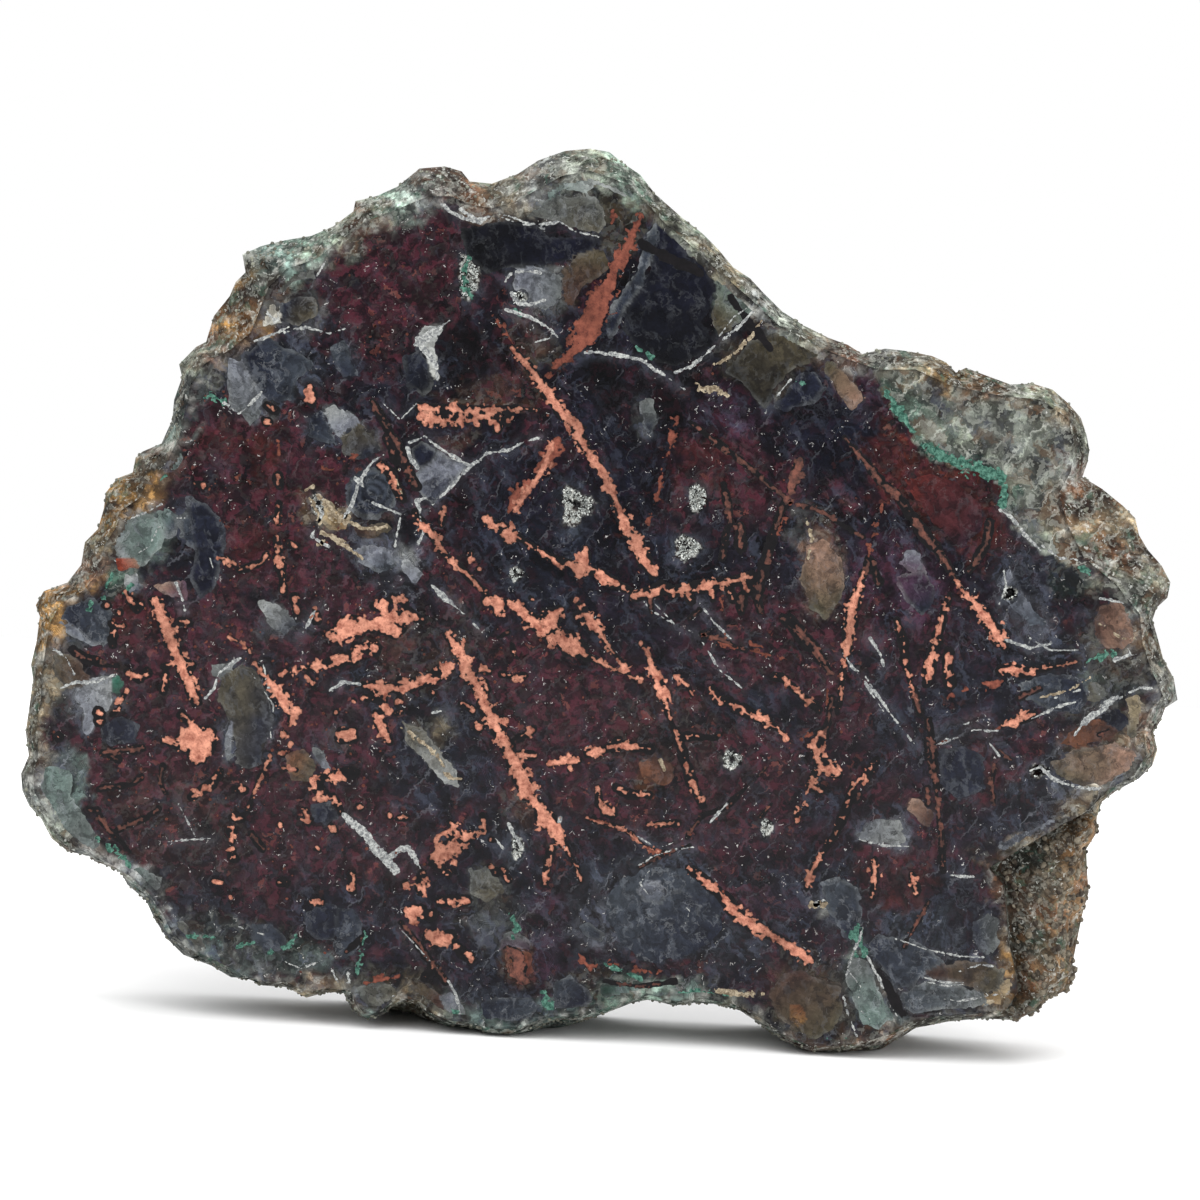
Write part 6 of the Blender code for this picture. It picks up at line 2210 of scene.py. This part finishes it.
@dataclass
class Studio:
    """A plain white floor, soft light and the camera."""

    lens: float = 300.0
    sensor: float = 36.0
    pitch: float = math.radians(7.2)
    middle: Point = (600.0, 601.8)
    ambient: float = 0.52
    floor_corners: tuple[Place, ...] = ((-0.9, -0.40, 0), (0.9, -0.40, 0), (0.9, 0.34, 0), (-0.9, 0.34, 0))
    lights: tuple[Row, ...] = (
        ("key", (-0.32, -0.75, 0.75), (0, 0, 0.05), 0.9, 9.0),
        ("top", (0.1, -0.2, 0.95), (0, 0, 0), 1.2, 6.0),
        ("fill", (0.6, -0.55, 0.35), (0, 0, 0.05), 0.5, 3.0),
        ("backdrop", (0, 0.55, 0.80), (0, 0.24, 0), 0.7, 4.5),
    )

    def light(self, name: str, place: Place, aim: Place, size: float, power: float) -> None:
        """Hangs a square soft light.

        Args:
            name: Its name.
            place: Where it hangs.
            aim: What it points at.
            size: Its side, in metres.
            power: Its power, in watts.
        """
        lamp = bpy.data.lights.new(name, "AREA")
        lamp.size, lamp.energy = size, power
        holder = bpy.data.objects.new(name, lamp)
        holder.location = place
        holder.rotation_euler = (Vector(aim) - Vector(place)).to_track_quat("-Z", "Y").to_euler()
        bpy.context.scene.collection.objects.link(holder)

    def camera(self) -> None:
        """Sets up the camera, level with the slab's own lean and looking a little down."""
        lean = SHEET.lean
        right, up = Vector((math.cos(lean), 0, math.sin(lean))), Vector((-math.sin(lean), 0, math.cos(lean)))
        ahead = Vector((0, math.cos(self.pitch), 0)) - up * math.sin(self.pitch)
        above = up * math.cos(self.pitch) + Vector((0, math.sin(self.pitch), 0))
        away = SHEET_SQUARES * SHEET.square_across * self.lens / self.sensor
        spot = Vector(SHEET.place(np.array(self.middle), 0.0).tolist()) - ahead * away
        lens = bpy.data.cameras.new("camera")
        lens.lens, lens.sensor_width, lens.clip_start = self.lens, self.sensor, 0.01
        holder = bpy.data.objects.new("camera", lens)
        bpy.context.scene.collection.objects.link(holder)
        rows = [(right[axis], above[axis], -ahead[axis], spot[axis]) for axis in range(3)]
        holder.matrix_world = Matrix([*rows, (0, 0, 0, 1)])
        bpy.context.scene.camera = holder

    def world(self) -> None:
        """White behind everything, and an even, dimmer light from all round."""
        world = bpy.data.worlds.new("white studio")
        world.use_nodes = True
        world.node_tree.nodes.clear()
        add = partial(add_node, world.node_tree)
        white = {"Color": (1, 1, 1, 1)}
        seen, lit = (add("Background", {**white, "Strength": power}) for power in (1.0, self.ambient))
        camera_ray = add("LightPath").outputs["Is Camera Ray"]
        add("OutputWorld", {"Surface": add("MixShader", {0: camera_ray, 1: lit, 2: seen})})
        bpy.context.scene.world = world

    def build(self) -> None:
        """Builds the studio."""
        corners = np.array(self.floor_corners)
        mesh_piece("paper_floor", corners, [(0, 1, 2, 3)], [PaperFinish().make()])
        self.world()
        for light in self.lights:
            self.light(*light)
        self.camera()
        view = bpy.context.scene.view_settings
        view.view_transform, view.look = "Standard", "None"


# ---------------------------------------------------------------- all of it


def drifted(strokes: tuple[Stroke, ...], right: float, down: float) -> tuple[Stroke, ...]:
    """Strokes moved over the sheet, as bodies that lean have moved where the saw meets them again."""
    return tuple(tuple((x + right, y + down, 0.9 * width) for x, y, width in stroke) for stroke in strokes)


def fillings() -> list[Blades]:
    """Everything that fills a narrow body in the stone, front and back.

    Returns:
        The fillings, in the order in which they are built. Where two cross, the one whose top lies
        higher hides the other.
    """
    return [
        Blades("black_selvage", BRIGHT_BLADES + TARNISHED_BLADES + BLACK_SEAMS, BLACK_SELVAGE, STONE_SLOT,
               top=0.000016, grow=1.9, wander=2.6, lobes=0.9, gaps=0.3, step=1.9, seed=101),
        Blades("bright_copper", BRIGHT_BLADES + COPPER_MASSES, BRIGHT_COPPER, COPPER_SLOT, seed=201,
               block_spacing=4.6, grow=-0.45, gaps=0.2, lobes=1.15, pinch=0.9, crumb=3.0),
        Blades("red_copper", RED_BLADES, RED_COPPER, COPPER_SLOT,
               top=0.000004, seed=301, gaps=1.4, block_spacing=4.0, grow=-0.35),
        Blades("tarnished_copper", TARNISHED_BLADES, TARNISHED_COPPER, COPPER_SLOT,
               top=0.000004, seed=401, gaps=1.5, block_spacing=5.0, grow=-0.35),
        Fragments("agate_fragments", (), BANDED_CHALCEDONY, STONE_SLOT,
                  top=0.000022, lobes=1.4, gaps=0.0, pinch=0.0, crumb=5.5, wander=1.6, step=2.2, seed=801),
        Blades("milky_veins", WHITE_VEINS, MILKY_QUARTZ, VEIN_SLOT,
               top=0.00001, lobes=0.9, gaps=0.4, crumb=2.6, pinch=0.5, step=1.0, seed=501, grow=-0.15,
               wander=0.8),
        Blades("cream_veins", CREAM_VEINS, CREAM_CHALCEDONY, VEIN_SLOT,
               top=0.00001, lobes=1.5, crumb=2.8, step=1.0, seed=601, wander=0.8),
        Blades("green_veins", GREEN_VEINS, GREEN_CHRYSOCOLLA, VEIN_SLOT,
               top=0.000012, lobes=2.4, gaps=1.0, crumb=3.4, step=1.0, seed=701, wander=1.6),
        Blades("copper_behind", drifted(BRIGHT_BLADES[::2] + COPPER_MASSES[::3], 14, -9), SAWN_COPPER,
               COPPER_SLOT, seed=211, block_spacing=4.5, behind=True, step=1.8),
        Blades("tarnish_behind", drifted((RED_BLADES + TARNISHED_BLADES)[1::2], -11, 8), TARNISHED_COPPER,
               COPPER_SLOT, top=0.000004, seed=411, behind=True, step=1.8),
        Blades("veins_behind", drifted(WHITE_VEINS[::2], 9, 12), MILKY_QUARTZ,
               VEIN_SLOT, top=0.00001, seed=511, behind=True, step=1.8, wander=0.8, crumb=3.4),
    ]


def scatters() -> dict[str, Scatter]:
    """What is scattered over the stone.

    Returns:
        For the name of each density, what lies there.
    """
    return {
        "pit_points": Scatter(
            "pit_crystals", Shape.POINT, 14.0, 0.00022, 0.0005, 0.7, QUARTZ_POINTS, VEIN_SLOT, 3
        ),
        "hollow_grit": Scatter(
            "hollow_grit", Shape.GRIT, 0.8, 0.0003, 0.0012, 3.1, LOOSE_GRAIN, VEIN_SLOT, 4
        ),
        "rim_grit": Scatter("rim_grit", Shape.GRIT, 0.55, 0.0002, 0.0006, 3.1, EDGE_GRIT, VEIN_SLOT, 5),
        "dust": Scatter(
            "copper_dust", Shape.FLAKE, 0.36, 0.00012, 0.0005, 0.0, RED_COPPER, COPPER_SLOT, 6,
            flatness=0.00005,
        ),
    }


def report(piece: bpy.types.Object) -> None:
    """Hangs a piece on the slab's body, and reports it.

    Args:
        piece: The piece.
    """
    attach(piece, "root")
    log.info("%s: %d faces", piece.name, len(piece.data.polygons))


def main() -> None:
    """Builds the slab and its studio, and reports each piece."""
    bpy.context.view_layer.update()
    Studio().build()
    stone, surface = SlabStone().build()
    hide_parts(NODE)
    report(stone)
    for filling in fillings():
        report(filling.build())
    for density, scatter in scatters().items():
        report(scatter.build(surface["points"], surface["triangles"], surface[density]))


if __name__ == "__main__":
    logging.basicConfig(level=logging.INFO)
    main()
